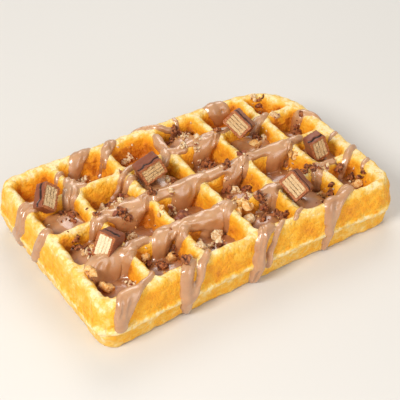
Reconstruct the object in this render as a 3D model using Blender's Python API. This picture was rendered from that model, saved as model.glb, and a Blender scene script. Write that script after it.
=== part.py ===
"""A belgian waffle, six pockets long and four wide, with a thick zigzag drizzle of milk chocolate
sauce, crushed nuts and wafer crumbs, and cut pieces of chocolate-coated wafer bar.

The waffle lies on its base. X runs along it, the front is at -Y and the base is at Z = 0.
"""

import math
import random

import bmesh
import bpy
import numpy as np
from mathutils import Euler, Matrix, Vector
from mathutils.bvhtree import BVHTree

MM = 0.001

# Waffle
PITCH_X = 28.0 * MM
PITCH_Y = 25.0 * MM
COLUMNS = 6
ROWS = 4
THICKNESS = 29.0 * MM
POCKET_DEPTH = 12.0 * MM
RIB_TOP = 4.4 * MM
RIB_FLAT = 2.0 * MM
WALL_SHOULDER = 0.6 * MM
WALL_FOOT = 3.0 * MM
SHOULDER_DROP = 1.9 * MM
POCKET_CORNER = 3.0 * MM
GRID_SHIFT = (1.8 * MM, 0.5 * MM)
POCKETS_X = (-79.3 * MM, 75.0 * MM)
POCKETS_Y = (-47.3 * MM, 46.2 * MM)
EDGE_X = (-84.0 * MM, 82.5 * MM)
EDGE_Y = (-51.3 * MM, 51.8 * MM)
# corner: side in x, side in y, radius of the top edge
CORNERS = ((-1, -1, 8.0 * MM), (1, -1, 10.0 * MM), (1, 1, 30.0 * MM), (-1, 1, 9.0 * MM))
BACK_SKEW = 0.025
FRONT_BOW = 2.3 * MM
WAVE = 0.5 * MM
WAVE_X = 9.0 * MM
WAVE_Y = 11.0 * MM
WAVE_PHASES = (1.1, 0.4)
# side profile: offset outwards from the top edge, share of the half thickness
SIDE_RINGS = ((-2.2 * MM, 1.0), (-0.8 * MM, 0.955), (0.1 * MM, 0.81), (1.9 * MM, 0.17), (2.7 * MM, 0.0))


# Sauce: half width and height above the waffle, in mm, then the places it runs through, in mm from
# the middle crossing of the ribs
DRIZZLE = (
    (4.5, 2.0, ((-83, 28), (-77, 27), (-69, 26), (-62, 27), (-56, 26))),
    (5.0, 2.2, ((-64, 15), (-61, 20), (-56, 25), (-50, 32), (-46, 40), (-43, 46), (-40, 52))),
    (1.7, 1.5, ((-63, 31), (-59, 39), (-55, 42), (-50, 37))),
    (1.9, 1.5, ((-37, 30), (-32, 37), (-28, 42), (-25, 48), (-23, 51))),
    (2.6, 1.8, ((-46, 5), (-41, 10), (-35, 17), (-31, 22), (-27, 25), (-20, 26))),
    (2.6, 1.8, ((-40, 7), (-34, 13), (-28, 18), (-21, 20), (-16, 15))),
    (4.2, 2.0, ((-47, -14), (-42, -8), (-36, -1), (-29, 1), (-23, 3), (-17, 9))),
    (4.0, 2.0, ((-70, -16), (-64, -9), (-60, -3), (-55, 0), (-49, 1), (-45, -4))),
    (6.5, 3.0, ((-76, -28), (-71, -32), (-65, -32), (-59, -30), (-53, -27))),
    (6.0, 3.0, ((-48, -37), (-44, -31), (-36, -29), (-29, -26), (-21, -26))),
    (6.5, 3.0, ((-29, -26), (-21, -29), (-13, -30), (-5, -28), (3, -26))),
    (6.5, 3.0, ((-26, 0), (-19, -4), (-11, -6), (-4, -4), (3, -2))),
    (6.0, 3.0, ((0, 0), (8, -3), (16, -4), (24, -3), (30, -1))),
    (7.0, 3.0, ((28, 0), (35, -3), (42, -5), (50, -4), (57, 0), (64, 1))),
    (5.0, 2.2, ((1, 52), (4, 46), (7, 39), (8, 31), (7, 26))),
    (6.5, 3.0, ((2, 26), (8, 22), (14, 20), (21, 22), (29, 26), (36, 27))),
    (2.6, 1.8, ((-10, 29), (-4, 34), (1, 38), (6, 42))),
    (6.5, 2.2, ((39, 52), (40, 46), (40, 38), (38, 28), (40, 20), (44, 12))),
    (2.0, 1.6, ((19, 51), (17, 46), (13, 39))),
    (3.0, 1.8, ((47, 21), (53, 23), (60, 25), (64, 24))),
    (3.4, 2.0, ((62, 8), (67, 13), (72, 18), (77, 18), (81, 12))),
    (3.0, 1.8, ((58, -1), (63, -8), (64, -14), (60, -20))),
    (1.6, 1.4, ((66, -20), (72, -17), (77, -13), (82, -11))),
    (2.8, 1.8, ((58, -41), (63, -35), (69, -30), (75, -26), (82, -23))),
    (2.0, 1.5, ((67, -44), (73, -41), (82, -39))),
)
# Sauce down a side: side, place along it at the top edge and at the lower end, height of the lower
# end, half width, all in mm
DRIPS = (
    ("front", -66, -77, 2, 4.2),
    ("front", -57, -70, 16, 2.2),
    ("front", -37, -43, 2, 4.0),
    ("front", -25, -37, 4, 2.2),
    ("front", 3, -3, 2, 4.2),
    ("front", 15, 4, 11, 2.2),
    ("front", 43, 37, 2, 3.8),
    ("front", 57, 44, 20, 2.2),
    ("left", 28, 38, 2, 4.0),
    ("left", 6, 17, 1, 3.6),
)
# Feeders from the pockets to the drips over the front rim
OVER_RIM = (
    (3.8, 1.8, ((-56, -40), (-60, -46), (-66, -52))),
    (2.2, 1.6, ((-47, -42), (-52, -47), (-57, -51))),
    (3.8, 1.8, ((-30, -42), (-33, -47), (-37, -51))),
    (2.2, 1.6, ((-18, -44), (-21, -48), (-25, -51))),
    (3.8, 1.8, ((10, -41), (7, -46), (3, -51))),
    (2.2, 1.6, ((23, -44), (19, -48), (15, -51))),
    (3.6, 1.8, ((52, -41), (48, -46), (43, -51))),
    (2.2, 1.6, ((66, -44), (62, -47), (57, -51))),
    (3.4, 1.8, ((-73, 10), (-79, 8), (-84, 6))),
)
# Sauce heaped under the wafer pieces: place, half sizes, and top against the rib tops, in mm
MOUNDS = (
    (-69, 15, 8.0, 6.5, -4.0),
    (-66, -16, 7.0, 6.0, -5.0),
    (-18, 14, 9.0, 7.5, -2.5),
    (39, 15, 8.5, 7.0, -3.0),
    (37, -38, 8.5, 7.5, -3.5),
    (64, -13, 5.5, 7.5, -4.0),
)
SPLINE_STEP = 5.0 * MM
GROUND_STEPS = 4
SPLINE_SAMPLES = 24
STRAND_SIDES = 6
STRAND_FLATNESS = 0.5
MOUND_ROOT = 1.5 * MM
END_SHARE = 0.55
SINK = 0.5 * MM
DRIP_START = 1.0 * MM
DRIP_STATIONS = 5
DRIP_PROUD = 2.3 * MM
CRUMB_LIFT = 0.35
CRUMB_SIDE = 1.5
KEEP_SHARE = 0.72
FLAT_ANGLE = math.radians(2.5)

# Larger crumbs: centre, scatter, how many and radius, in mm
CRUMBS = (
    (-74, 16, 1.0, 1, 3.0), (-63, 13, 2.0, 2, 2.1), (-43, 41, 3.0, 2, 2.2), (-45, 16, 2.0, 2, 2.7),
    (-35, 12, 2.0, 1, 2.2), (-46, -3, 2.0, 2, 2.2), (-26, 0, 0.5, 1, 2.1), (-16, 43, 2.0, 2, 2.4),
    (-70, -7, 2.5, 2, 2.4), (-77, -29, 0.5, 1, 2.2), (-72, -35, 0.5, 1, 2.9), (-45, -11, 2.0, 1, 2.2),
    (-48, -29, 1.0, 1, 2.4), (-45, -36, 1.5, 2, 2.4), (-36, -33, 1.5, 1, 2.4), (-38, -49, 0.3, 1, 2.7),
    (-20, -35, 0.5, 1, 3.2), (-62, -39, 1.5, 1, 2.3), (-10, -34, 0.5, 1, 3.4), (14, 42, 3.5, 3, 2.4),
    (8, 25, 1.0, 1, 2.1), (17, 26, 1.5, 1, 2.1), (28, 26, 1.0, 1, 2.4), (15, 17, 3.5, 3, 2.0),
    (16, -1, 1.0, 1, 2.3), (-7, 10, 2.0, 2, 2.2), (-19, -4, 1.5, 1, 2.2), (14, -8, 2.5, 2, 2.4),
    (22, -12, 1.0, 1, 2.3), (4, -23, 0.5, 1, 2.3), (8, -28, 1.5, 2, 2.5), (18, -28, 1.0, 1, 3.0),
    (10, -34, 0.8, 1, 3.4), (22, -38, 2.0, 2, 2.3), (48, 17, 1.5, 1, 2.2), (28, 2, 0.5, 1, 2.4),
    (63, 42, 1.5, 1, 2.3), (63, 22, 1.0, 1, 2.2), (73, 14, 1.5, 2, 2.6), (52, -9, 1.0, 1, 2.2),
    (52, -27, 1.5, 2, 2.4), (65, -28, 0.5, 1, 2.9), (72, -35, 2.0, 2, 2.8), (52, -40, 1.5, 1, 2.6),
)

# Wafer bar pieces: name, centre from the middle crossing and the rib tops, turn about X, Y and Z in
# degrees, and length
BAR_WIDTH = 12.9 * MM
BAR_THICK = 9.3 * MM
COAT = 1.3 * MM
BAR_ROUND = 1.1 * MM
GAP = 0.3 * MM
PIECES = (
    ("left", (-72.0, 21.9, 4.7), (36, -33, -62), 7.0),
    ("front_left", (-62.6, -21.2, 2.8), (-97, -27, -151), 10.4),
    ("middle", (-18.4, 15.5, 3.6), (21, -15, -99), 11.4),
    ("back", (38.5, 20.0, 5.8), (-36, -29, -139), 11.6),
    ("front_right", (34.4, -34.6, 4.0), (-37, -31, -143), 12.3),
    ("right", (62.7, -13.8, 2.4), (-74, -7, -94), 7.8),
)
SHARD = ((-20.5, -20.5, 1.0), (12, 20, 24), (10.5 * MM, 6.5 * MM, 5.5 * MM))


def clear_scene():
    for obj in list(bpy.data.objects):
        bpy.data.objects.remove(obj, do_unlink=True)


def material(name, colour, roughness):
    made = bpy.data.materials.new(name)
    made.use_nodes = True
    shader = made.node_tree.nodes["Principled BSDF"]
    shader.inputs["Base Color"].default_value = (*colour, 1.0)
    shader.inputs["Roughness"].default_value = roughness
    shader.inputs["Metallic"].default_value = 0.0
    return made


def add_object(name, mesh, collection, finish=None):
    obj = bpy.data.objects.new(name, mesh)
    collection.objects.link(obj)
    if finish is not None:
        mesh.materials.clear()
        mesh.materials.append(finish)
    return obj


def pocket_edges(count, pitch, ends):
    """The two edges of each pocket along one direction, measured from the middle rib."""
    ribs = [(k - count / 2) * pitch for k in range(1, count)]
    lows = [ends[0]] + [rib + RIB_TOP / 2 for rib in ribs]
    highs = [rib - RIB_TOP / 2 for rib in ribs] + [ends[1]]
    return list(zip(lows, highs))


def grid_lines(pockets, edge):
    """Where the mesh lines run: (place, ring), with ring None between the rims."""
    flat = (RIB_TOP - RIB_FLAT) / 2
    lines = []
    for low, high in pockets:
        for step in (-flat, WALL_SHOULDER, WALL_FOOT):
            lines.append((low + step, None))
        for step in (-WALL_FOOT, -WALL_SHOULDER, flat):
            lines.append((high + step, None))
    rings = list(enumerate(SIDE_RINGS))
    before = [(edge[0] - offset, ring) for ring, (offset, _) in reversed(rings)]
    after = [(edge[1] + offset, ring) for ring, (offset, _) in rings]
    return before + lines + after


def pocket_inset(x, y, columns, rows):
    """How far a point is inside the nearest pocket's top edge, which has round corners."""
    best = -1.0
    for low_x, high_x in columns:
        for low_y, high_y in rows:
            dx = min(x - low_x, high_x - x)
            dy = min(y - low_y, high_y - y)
            corner = math.hypot(max(POCKET_CORNER - dx, 0.0), max(POCKET_CORNER - dy, 0.0))
            inset = POCKET_CORNER - corner if corner > 0 else min(dx, dy)
            best = max(best, inset)
    return best


def plan_place(x, y):
    """A grid point's place in plan: corners drawn in to arcs, the back skewed, the front bowed."""
    for side_x, side_y, radius in CORNERS:
        centre_x = EDGE_X[side_x > 0] - side_x * radius
        centre_y = EDGE_Y[side_y > 0] - side_y * radius
        dx, dy = (x - centre_x) * side_x, (y - centre_y) * side_y
        if dx > 0 and dy > 0:
            pull = max(dx, dy) / math.hypot(dx, dy)
            x, y = centre_x + side_x * dx * pull, centre_y + side_y * dy * pull
            break
    last_rib = (ROWS / 2 - 1) * PITCH_Y
    if y > last_rib:
        y -= BACK_SKEW * x * (y - last_rib) / (EDGE_Y[1] - last_rib)
    if y < -last_rib:
        y -= FRONT_BOW * (x / EDGE_X[1]) ** 2 * (y + last_rib) / (EDGE_Y[0] + last_rib)
    return x, y


def top_wave(x, y):
    """How much lower the upper side is than the flat plane of the rib tops."""
    swing = math.sin(x / WAVE_X + WAVE_PHASES[0]) * math.cos(y / WAVE_Y + WAVE_PHASES[1])
    return WAVE * (1.0 + swing) / 2


def waffle_sheet(side, columns, rows):
    """Upper (side 1) or lower (side -1) skin down to the seam: a grid with each crossing moved."""
    lines_x, lines_y = grid_lines(columns, EDGE_X), grid_lines(rows, EDGE_Y)
    half = THICKNESS / 2
    sheet = bmesh.new()
    bmesh.ops.create_grid(sheet, x_segments=len(lines_x) - 1, y_segments=len(lines_y) - 1, size=1.0)
    for vert in sheet.verts:
        x, ring_x = lines_x[round((vert.co.x + 1) / 2 * (len(lines_x) - 1))]
        y, ring_y = lines_y[round((vert.co.y + 1) / 2 * (len(lines_y) - 1))]
        rings = [ring for ring in (ring_x, ring_y) if ring is not None]
        if rings:
            height = half * SIDE_RINGS[max(rings)][1]
        else:
            inset = pocket_inset(x, y, columns, rows)
            stations = (-(RIB_TOP - RIB_FLAT) / 2, WALL_SHOULDER, WALL_FOOT)
            height = half - float(np.interp(inset, stations, (0.0, SHOULDER_DROP, POCKET_DEPTH)))
        if side > 0:
            height -= top_wave(x, y) * height / half
        place_x, place_y = plan_place(x, y)
        vert.co = (place_x + GRID_SHIFT[0], place_y + GRID_SHIFT[1], half + side * height)
    if side < 0:
        bmesh.ops.reverse_faces(sheet, faces=sheet.faces)
    return sheet


def waffle_body():
    """Both skins welded along the seam."""
    columns = pocket_edges(COLUMNS, PITCH_X, POCKETS_X)
    rows = pocket_edges(ROWS, PITCH_Y, POCKETS_Y)
    mesh = bpy.data.meshes.new("waffle")
    whole = waffle_sheet(1, columns, rows)
    lower = waffle_sheet(-1, columns, rows)
    lower.to_mesh(mesh)
    lower.free()
    whole.from_mesh(mesh)
    bmesh.ops.remove_doubles(whole, verts=whole.verts, dist=0.02 * MM)
    bmesh.ops.dissolve_limit(whole, angle_limit=FLAT_ANGLE, verts=whole.verts, edges=whole.edges)
    bmesh.ops.triangulate(whole, faces=whole.faces)
    whole.to_mesh(mesh)
    whole.free()
    return mesh


def on_grid(x, y, height=0.0):
    """A place given in mm from the middle rib crossing and the rib tops, in the part's frame."""
    return Vector((x * MM + GRID_SHIFT[0], y * MM + GRID_SHIFT[1], height * MM + THICKNESS))


def surface_tree(mesh):
    return BVHTree.FromPolygons([v.co for v in mesh.vertices], [p.vertices for p in mesh.polygons])


def surface_height(tree, place):
    hit = tree.ray_cast(Vector((place[0], place[1], 0.1)), Vector((0, 0, -1)))[0]
    return THICKNESS / 2 if hit is None else hit.z


def even_points(points, step):
    """Points at even steps along a smooth curve through the given ones (Catmull-Rom)."""
    p = np.array(points, float)
    p = np.vstack([2 * p[0] - p[1], p, 2 * p[-1] - p[-2]])
    t = np.linspace(0, 1, SPLINE_SAMPLES, endpoint=False)[:, None]
    runs = []
    for a, b, c, d in zip(p, p[1:], p[2:], p[3:]):
        runs.append(((-t**3 + 2 * t**2 - t) * a + (3 * t**3 - 5 * t**2 + 2) * b
                     + (-3 * t**3 + 4 * t**2 + t) * c + (t**3 - t**2) * d) / 2)
    fine = np.vstack([*runs, p[-2]])
    along = np.concatenate([[0], np.cumsum(np.linalg.norm(np.diff(fine, axis=0), axis=1))])
    stops = np.linspace(0, along[-1], max(3, round(along[-1] / step) + 1))
    return np.stack([np.interp(stops, along, fine[:, k]) for k in range(fine.shape[1])], axis=1)


def oval_section(collection):
    """The cross-section of every strand: six points of an oval, lying half as high as it is wide."""
    curve = bpy.data.curves.new("oval", "CURVE")
    curve.dimensions = "2D"
    spline = curve.splines.new("POLY")
    spline.points.add(STRAND_SIDES - 1)
    spline.use_cyclic_u = True
    for k, point in enumerate(spline.points):
        angle = math.tau * k / STRAND_SIDES
        point.co = (math.cos(angle), STRAND_FLATNESS * math.sin(angle), 0.0, 1.0)
    return add_object("oval", curve, collection)


def strand(name, points, half_width, oval, collection):
    """A strand of sauce: the oval carried along the points, made a mesh so that it can be fused."""
    curve = bpy.data.curves.new(name, "CURVE")
    curve.dimensions = "3D"
    curve.twist_mode = "Z_UP"
    curve.bevel_mode = "OBJECT"
    curve.bevel_object = oval
    curve.use_fill_caps = True
    spline = curve.splines.new("POLY")
    spline.points.add(len(points) - 1)
    for k, (point, place) in enumerate(zip(spline.points, points)):
        point.co = (*place, 1.0)
        point.radius = half_width * (END_SHARE if k in (0, len(points) - 1) else 1.0)
    source = add_object(name, curve, collection)
    mesh = bpy.data.meshes.new_from_object(source.evaluated_get(bpy.context.evaluated_depsgraph_get()))
    bpy.data.objects.remove(source, do_unlink=True)
    weld(mesh)
    return add_object(name, mesh, collection)


def weld(mesh):
    """Joins the caps of a curve to its sides and turns every face outwards."""
    clean = bmesh.new()
    clean.from_mesh(mesh)
    bmesh.ops.remove_doubles(clean, verts=clean.verts, dist=0.01 * MM)
    bmesh.ops.recalc_face_normals(clean, faces=clean.faces)
    clean.to_mesh(mesh)
    clean.free()


def lay_strand(name, places, half_width, proud, tree, oval, collection):
    """A strand that follows the waffle: over the ribs and down into the pockets, its bends eased.

    Each point takes the highest ground within half a step before and after it.
    """
    fine = even_points([on_grid(x, y)[:2] for x, y in places], SPLINE_STEP / GROUND_STEPS)
    ground = np.array([surface_height(tree, point) for point in fine])
    reach = np.pad(ground, GROUND_STEPS // 2, mode="edge")
    highest = np.max([reach[k:k + len(ground)] for k in range(GROUND_STEPS + 1)], axis=0)
    points, eased = fine[::GROUND_STEPS], highest[::GROUND_STEPS]
    padded = np.pad(eased, 1, mode="edge")
    eased = np.maximum((padded[:-2] + 2 * padded[1:-1] + padded[2:]) / 4, eased - SINK)
    heights = eased + proud - STRAND_FLATNESS * half_width
    return strand(name, np.column_stack([points, heights]), half_width, oval, collection)


def side_offset(height):
    """How far the side stands out from the top edge at a height."""
    rings = SIDE_RINGS[::-1]
    share = abs(height / (THICKNESS / 2) - 1)
    return float(np.interp(share, [r[1] for r in rings], [r[0] for r in rings]))


def side_drip(name, side, start, end, low, half_width, oval, collection):
    """Sauce that ran down a side. It is laid flat as (along, height, outwards), then stood up."""
    points = []
    for share in np.linspace(0, 1, DRIP_STATIONS):
        height = THICKNESS - DRIP_START + share * (low * MM - THICKNESS + DRIP_START)
        along = (start + share * (end - start)) * MM
        out = side_offset(height) + DRIP_PROUD - STRAND_FLATNESS * half_width
        if side == "front":
            x, y = plan_place(along, EDGE_Y[0])
            points.append((x + GRID_SHIFT[0], height, out - y - GRID_SHIFT[1]))
        else:
            x, y = plan_place(EDGE_X[0], along)
            points.append((-y - GRID_SHIFT[1], height, out - x - GRID_SHIFT[0]))
    drip = strand(name, points, half_width, oval, collection)
    front = Matrix(((1, 0, 0, 0), (0, 0, -1, 0), (0, 1, 0, 0), (0, 0, 0, 1)))
    left = Matrix(((0, 0, -1, 0), (-1, 0, 0, 0), (0, 1, 0, 0), (0, 0, 0, 1)))
    drip.data.transform(front if side == "front" else left)
    return drip


def mound(name, x, y, half_x, half_y, top, collection):
    """Sauce heaped in a pocket under a wafer piece: the upper half of a ball, stretched."""
    shape = bmesh.new()
    bmesh.ops.create_uvsphere(shape, u_segments=10, v_segments=6, radius=1.0)
    floor = on_grid(x, y, -POCKET_DEPTH / MM)
    for vert in shape.verts:
        rise = vert.co.z * (top * MM + POCKET_DEPTH) if vert.co.z > 0 else vert.co.z * MOUND_ROOT
        vert.co = floor + Vector((vert.co.x * half_x * MM, vert.co.y * half_y * MM, rise))
    mesh = bpy.data.meshes.new(name)
    shape.to_mesh(mesh)
    shape.free()
    return add_object(name, mesh, collection)


def crumb(name, place, radius, draw, collection):
    """A broken lump: a rough block of about the given radius."""
    shape = bmesh.new()
    bmesh.ops.create_cube(shape, size=CRUMB_SIDE * radius)
    stretch = Vector([draw.uniform(0.75, 1.2) for _ in range(3)])
    turn = Euler([draw.uniform(0, math.tau) for _ in range(3)]).to_matrix()
    for vert in shape.verts:
        rough = vert.co * stretch * draw.uniform(0.85, 1.12)
        vert.co = turn @ rough + place
    mesh = bpy.data.meshes.new(name)
    shape.to_mesh(mesh)
    shape.free()
    return add_object(name, mesh, collection)


def combine(obj, others, operation):
    """One Boolean with every object of a collection, applied, and those objects removed."""
    modifier = obj.modifiers.new(operation.lower(), "BOOLEAN")
    modifier.operation = operation
    modifier.operand_type = "COLLECTION"
    modifier.collection = others
    modifier.solver = "MANIFOLD"
    graph = bpy.context.evaluated_depsgraph_get()
    mesh = bpy.data.meshes.new_from_object(obj.evaluated_get(graph))
    obj.modifiers.clear()
    obj.data = mesh
    for other in list(others.objects):
        bpy.data.objects.remove(other, do_unlink=True)
    bpy.data.collections.remove(others)


def keep_outer_shell(mesh):
    """Drops loose scraps and the walls of sealed hollows, so that one closed skin is left."""
    shape = bmesh.new()
    shape.from_mesh(mesh)
    bmesh.ops.triangulate(shape, faces=shape.faces)
    left = set(shape.faces)
    shells = []
    while left:
        stack = [left.pop()]
        shell = list(stack)
        while stack:
            for edge in stack.pop().edges:
                for face in edge.link_faces:
                    if face in left:
                        left.remove(face)
                        shell.append(face)
                        stack.append(face)
        shells.append(shell)
    shells.sort(key=len)
    bmesh.ops.delete(shape, geom=[face for shell in shells[:-1] for face in shell], context="FACES")
    shape.to_mesh(mesh)
    shape.free()


def thin_out(obj):
    """Collapses the slivers and the needless edges that the Booleans left in flat places."""
    modifier = obj.modifiers.new("thin out", "DECIMATE")
    modifier.ratio = KEEP_SHARE
    mesh = bpy.data.meshes.new_from_object(obj.evaluated_get(bpy.context.evaluated_depsgraph_get()))
    obj.modifiers.clear()
    obj.data = mesh


def bar_outline(grow):
    """Cross-section of the wafer bar: a rectangle with round corners, as a list of points."""
    half_y, half_z = BAR_WIDTH / 2 + grow, BAR_THICK / 2 + grow
    radius = BAR_ROUND + max(grow, 0.0)
    points = []
    for sign_y, sign_z, first in ((1, 1, 0), (-1, 1, 90), (-1, -1, 180), (1, -1, 270)):
        for step in (0, 45, 90):
            angle = math.radians(first + step)
            y = sign_y * (half_y - radius) + radius * math.cos(angle)
            z = sign_z * (half_z - radius) + radius * math.sin(angle)
            points.append((y, z))
    return points


def bar_prism(name, outlines, length, matrix, collection, finish=None):
    """Outlines filled between them and carried along the bar's length, at the piece's place."""
    curve = bpy.data.curves.new(name, "CURVE")
    curve.dimensions = "2D"
    curve.fill_mode = "BOTH"
    curve.extrude = length / 2
    for outline in outlines:
        spline = curve.splines.new("POLY")
        spline.points.add(len(outline) - 1)
        spline.use_cyclic_u = True
        for point, (y, z) in zip(spline.points, outline):
            point.co = (y, z, 0.0, 1.0)
    source = bpy.data.objects.new(name, curve)
    collection.objects.link(source)
    mesh = bpy.data.meshes.new_from_object(source.evaluated_get(bpy.context.evaluated_depsgraph_get()))
    bpy.data.objects.remove(source, do_unlink=True)
    # the curve's X, Y and Z become the bar's width, thickness and length
    lay = Matrix(((0, 0, 1, 0), (1, 0, 0, 0), (0, 1, 0, 0), (0, 0, 0, 1)))
    mesh.transform(matrix @ lay)
    weld(mesh)
    return add_object(name, mesh, collection, finish)


def placed(centre, turns):
    spin = Euler([math.radians(turn) for turn in turns], "XYZ").to_matrix().to_4x4()
    return Matrix.Translation(on_grid(*centre)) @ spin


def shard(name, grow, collection, finish=None):
    """A broken lump of chocolate, a block whose upper side is smaller and slanted."""
    centre, turns, size = SHARD
    shape = bmesh.new()
    bmesh.ops.create_cube(shape, size=1.0)
    for vert in shape.verts:
        taper = 0.72 if vert.co.z > 0 else 1.0
        slant = 0.25 * vert.co.x if vert.co.z > 0 else 0.0
        vert.co = (vert.co.x * taper * (size[0] + 2 * grow),
                   vert.co.y * taper * (size[1] + 2 * grow),
                   (vert.co.z + slant) * (size[2] + 2 * grow))
    shape.transform(placed(centre, turns))
    mesh = bpy.data.meshes.new(name)
    shape.to_mesh(mesh)
    shape.free()
    return add_object(name, mesh, collection, finish)


def dress_with_sauce(waffle):
    """Fuses the drizzle, the drips and the crumbs to the waffle."""
    tree = surface_tree(waffle.data)
    guides = bpy.data.collections.new("guides")
    sauce = bpy.data.collections.new("sauce")
    bpy.context.scene.collection.children.link(guides)
    bpy.context.scene.collection.children.link(sauce)
    oval = oval_section(guides)
    for k, (x, y, half_x, half_y, top) in enumerate(MOUNDS):
        mound(f"mound_{k}", x, y, half_x, half_y, top, sauce)
    for k, (radius, proud, places) in enumerate(DRIZZLE + OVER_RIM):
        lay_strand(f"strand_{k}", places, radius * MM, proud * MM, tree, oval, sauce)
    for k, (side, start, end, low, radius) in enumerate(DRIPS):
        side_drip(f"drip_{k}", side, start, end, low, radius * MM, oval, sauce)
    combine(waffle, sauce, "UNION")
    bpy.data.objects.remove(oval, do_unlink=True)
    bpy.data.collections.remove(guides)
    keep_outer_shell(waffle.data)


def dress_with_crumbs(waffle):
    tree = surface_tree(waffle.data)
    draw = random.Random(7)
    crumbs = bpy.data.collections.new("crumbs")
    bpy.context.scene.collection.children.link(crumbs)
    for k, (x, y, scatter, count, radius) in enumerate(CRUMBS):
        for n in range(count):
            size = radius * draw.uniform(0.7, 1.1) * MM
            place = on_grid(x + draw.uniform(-scatter, scatter), y + draw.uniform(-scatter, scatter))
            place.z = surface_height(tree, place) + CRUMB_LIFT * size
            crumb(f"crumb_{k}_{n}", place, size, draw, crumbs)
    combine(waffle, crumbs, "UNION")
    keep_outer_shell(waffle.data)


def clear_of_pieces(waffle):
    """Cuts the seats of the pieces, a gap larger than each piece."""
    seats = bpy.data.collections.new("seats")
    bpy.context.scene.collection.children.link(seats)
    for name, centre, turns, length in PIECES:
        bar_prism(f"seat_{name}", [bar_outline(GAP)], length * MM + 2 * GAP, placed(centre, turns), seats)
    shard("seat_shard", GAP, seats)
    combine(waffle, seats, "DIFFERENCE")
    keep_outer_shell(waffle.data)


def wafer_pieces(collection, chocolate, wafer):
    """Each piece is a chocolate coat open at both cut ends and the wafer that runs through it."""
    half_y, half_z = BAR_WIDTH / 2 - COAT, BAR_THICK / 2 - COAT
    hole = [(half_y, -half_z), (half_y, half_z), (-half_y, half_z), (-half_y, -half_z)]
    core_y, core_z = half_y - GAP, half_z - GAP
    core = [(core_y, -core_z), (core_y, core_z), (-core_y, core_z), (-core_y, -core_z)]
    for name, centre, turns, length in PIECES:
        place = placed(centre, turns)
        bar_prism(f"coat_{name}", [bar_outline(0.0), hole], length * MM, place, collection, chocolate)
        bar_prism(f"wafer_{name}", [core], length * MM, place, collection, wafer)


def build():
    clear_scene()
    collection = bpy.data.collections.new("belgian waffle")
    bpy.context.scene.collection.children.link(collection)
    baked = material("baked waffle", (0.86, 0.53, 0.16), 0.7)
    chocolate = material("milk chocolate", (0.19, 0.075, 0.04), 0.35)
    wafer = material("crisp wafer", (0.82, 0.63, 0.34), 0.8)
    waffle = add_object("waffle", waffle_body(), collection)
    dress_with_sauce(waffle)
    dress_with_crumbs(waffle)
    thin_out(waffle)
    clear_of_pieces(waffle)
    waffle.data.materials.clear()
    waffle.data.materials.append(baked)
    wafer_pieces(collection, chocolate, wafer)
    shard("chocolate_shard", 0.0, collection, chocolate)


build()
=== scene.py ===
"""Looks of the belgian waffle: its crust, chocolate sauce, wafer bar pieces and crumbs.

All shapes are worked out in metres in the part's own frame. Places on the waffle are given in
millimetres from the middle crossing of the ribs. Past the rim, a place goes on down the side by
the distance along its profile, so one pair of numbers reaches every point from rim to base.
"""

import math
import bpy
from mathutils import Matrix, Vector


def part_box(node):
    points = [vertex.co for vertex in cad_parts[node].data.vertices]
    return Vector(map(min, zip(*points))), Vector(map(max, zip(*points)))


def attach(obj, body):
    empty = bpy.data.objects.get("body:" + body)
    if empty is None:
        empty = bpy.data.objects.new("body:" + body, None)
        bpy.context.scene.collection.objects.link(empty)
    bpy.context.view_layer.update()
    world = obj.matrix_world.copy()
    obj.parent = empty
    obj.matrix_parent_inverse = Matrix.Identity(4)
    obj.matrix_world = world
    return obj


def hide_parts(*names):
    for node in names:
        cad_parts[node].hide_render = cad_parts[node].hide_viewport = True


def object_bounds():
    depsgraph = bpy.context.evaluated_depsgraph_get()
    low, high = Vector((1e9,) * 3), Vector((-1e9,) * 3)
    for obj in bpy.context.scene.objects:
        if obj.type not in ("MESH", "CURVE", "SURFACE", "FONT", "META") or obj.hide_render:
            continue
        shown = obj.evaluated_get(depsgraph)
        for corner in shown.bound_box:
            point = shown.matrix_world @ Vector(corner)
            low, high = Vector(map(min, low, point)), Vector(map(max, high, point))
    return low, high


bl_info = {
    "name": "Belgian waffle",
    "version": (1, 0, 0),
    "blender": (4, 5, 0),
    "location": "3D View > Sidebar > Waffle",
    "description": "Dresses a belgian waffle with crust, chocolate sauce, wafer bar pieces and crumbs",
    "category": "Object",
}

import bpy
import numpy as np
from mathutils import Euler, Matrix, Vector
from mathutils.bvhtree import BVHTree

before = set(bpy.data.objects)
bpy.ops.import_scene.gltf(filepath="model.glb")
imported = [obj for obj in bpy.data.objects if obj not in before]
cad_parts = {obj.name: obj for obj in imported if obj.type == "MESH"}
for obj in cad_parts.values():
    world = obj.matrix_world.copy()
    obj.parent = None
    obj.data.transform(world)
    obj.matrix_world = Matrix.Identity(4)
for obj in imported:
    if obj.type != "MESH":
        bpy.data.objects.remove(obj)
cad_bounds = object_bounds()

MM = 0.001

# The waffle iron, as the CAD model has it
THICKNESS = 29.0 * MM
HALF = THICKNESS / 2
GRID_SHIFT = np.array((1.8, 0.5)) * MM
PITCH_X, PITCH_Y = 28.0 * MM, 25.0 * MM
COLUMNS, ROWS = 6, 4
RIB_TOP = 4.4 * MM
POCKETS_X = (-79.3 * MM, 75.0 * MM)
POCKETS_Y = (-47.3 * MM, 46.2 * MM)
EDGE_X = (-84.0 * MM, 82.5 * MM)
EDGE_Y = (-51.3 * MM, 51.8 * MM)
RIM_IN = 2.2 * MM
# corner: side in x, side in y, radius of the top edge
CORNERS = ((-1, -1, 8.0 * MM), (1, -1, 10.0 * MM), (1, 1, 30.0 * MM), (-1, 1, 9.0 * MM))
BACK_SKEW = 0.025
FRONT_BOW = 2.3 * MM
WAVE, WAVE_X, WAVE_Y = 0.5 * MM, 9.0 * MM, 11.0 * MM
WAVE_PHASES = (1.1, 0.4)
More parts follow.
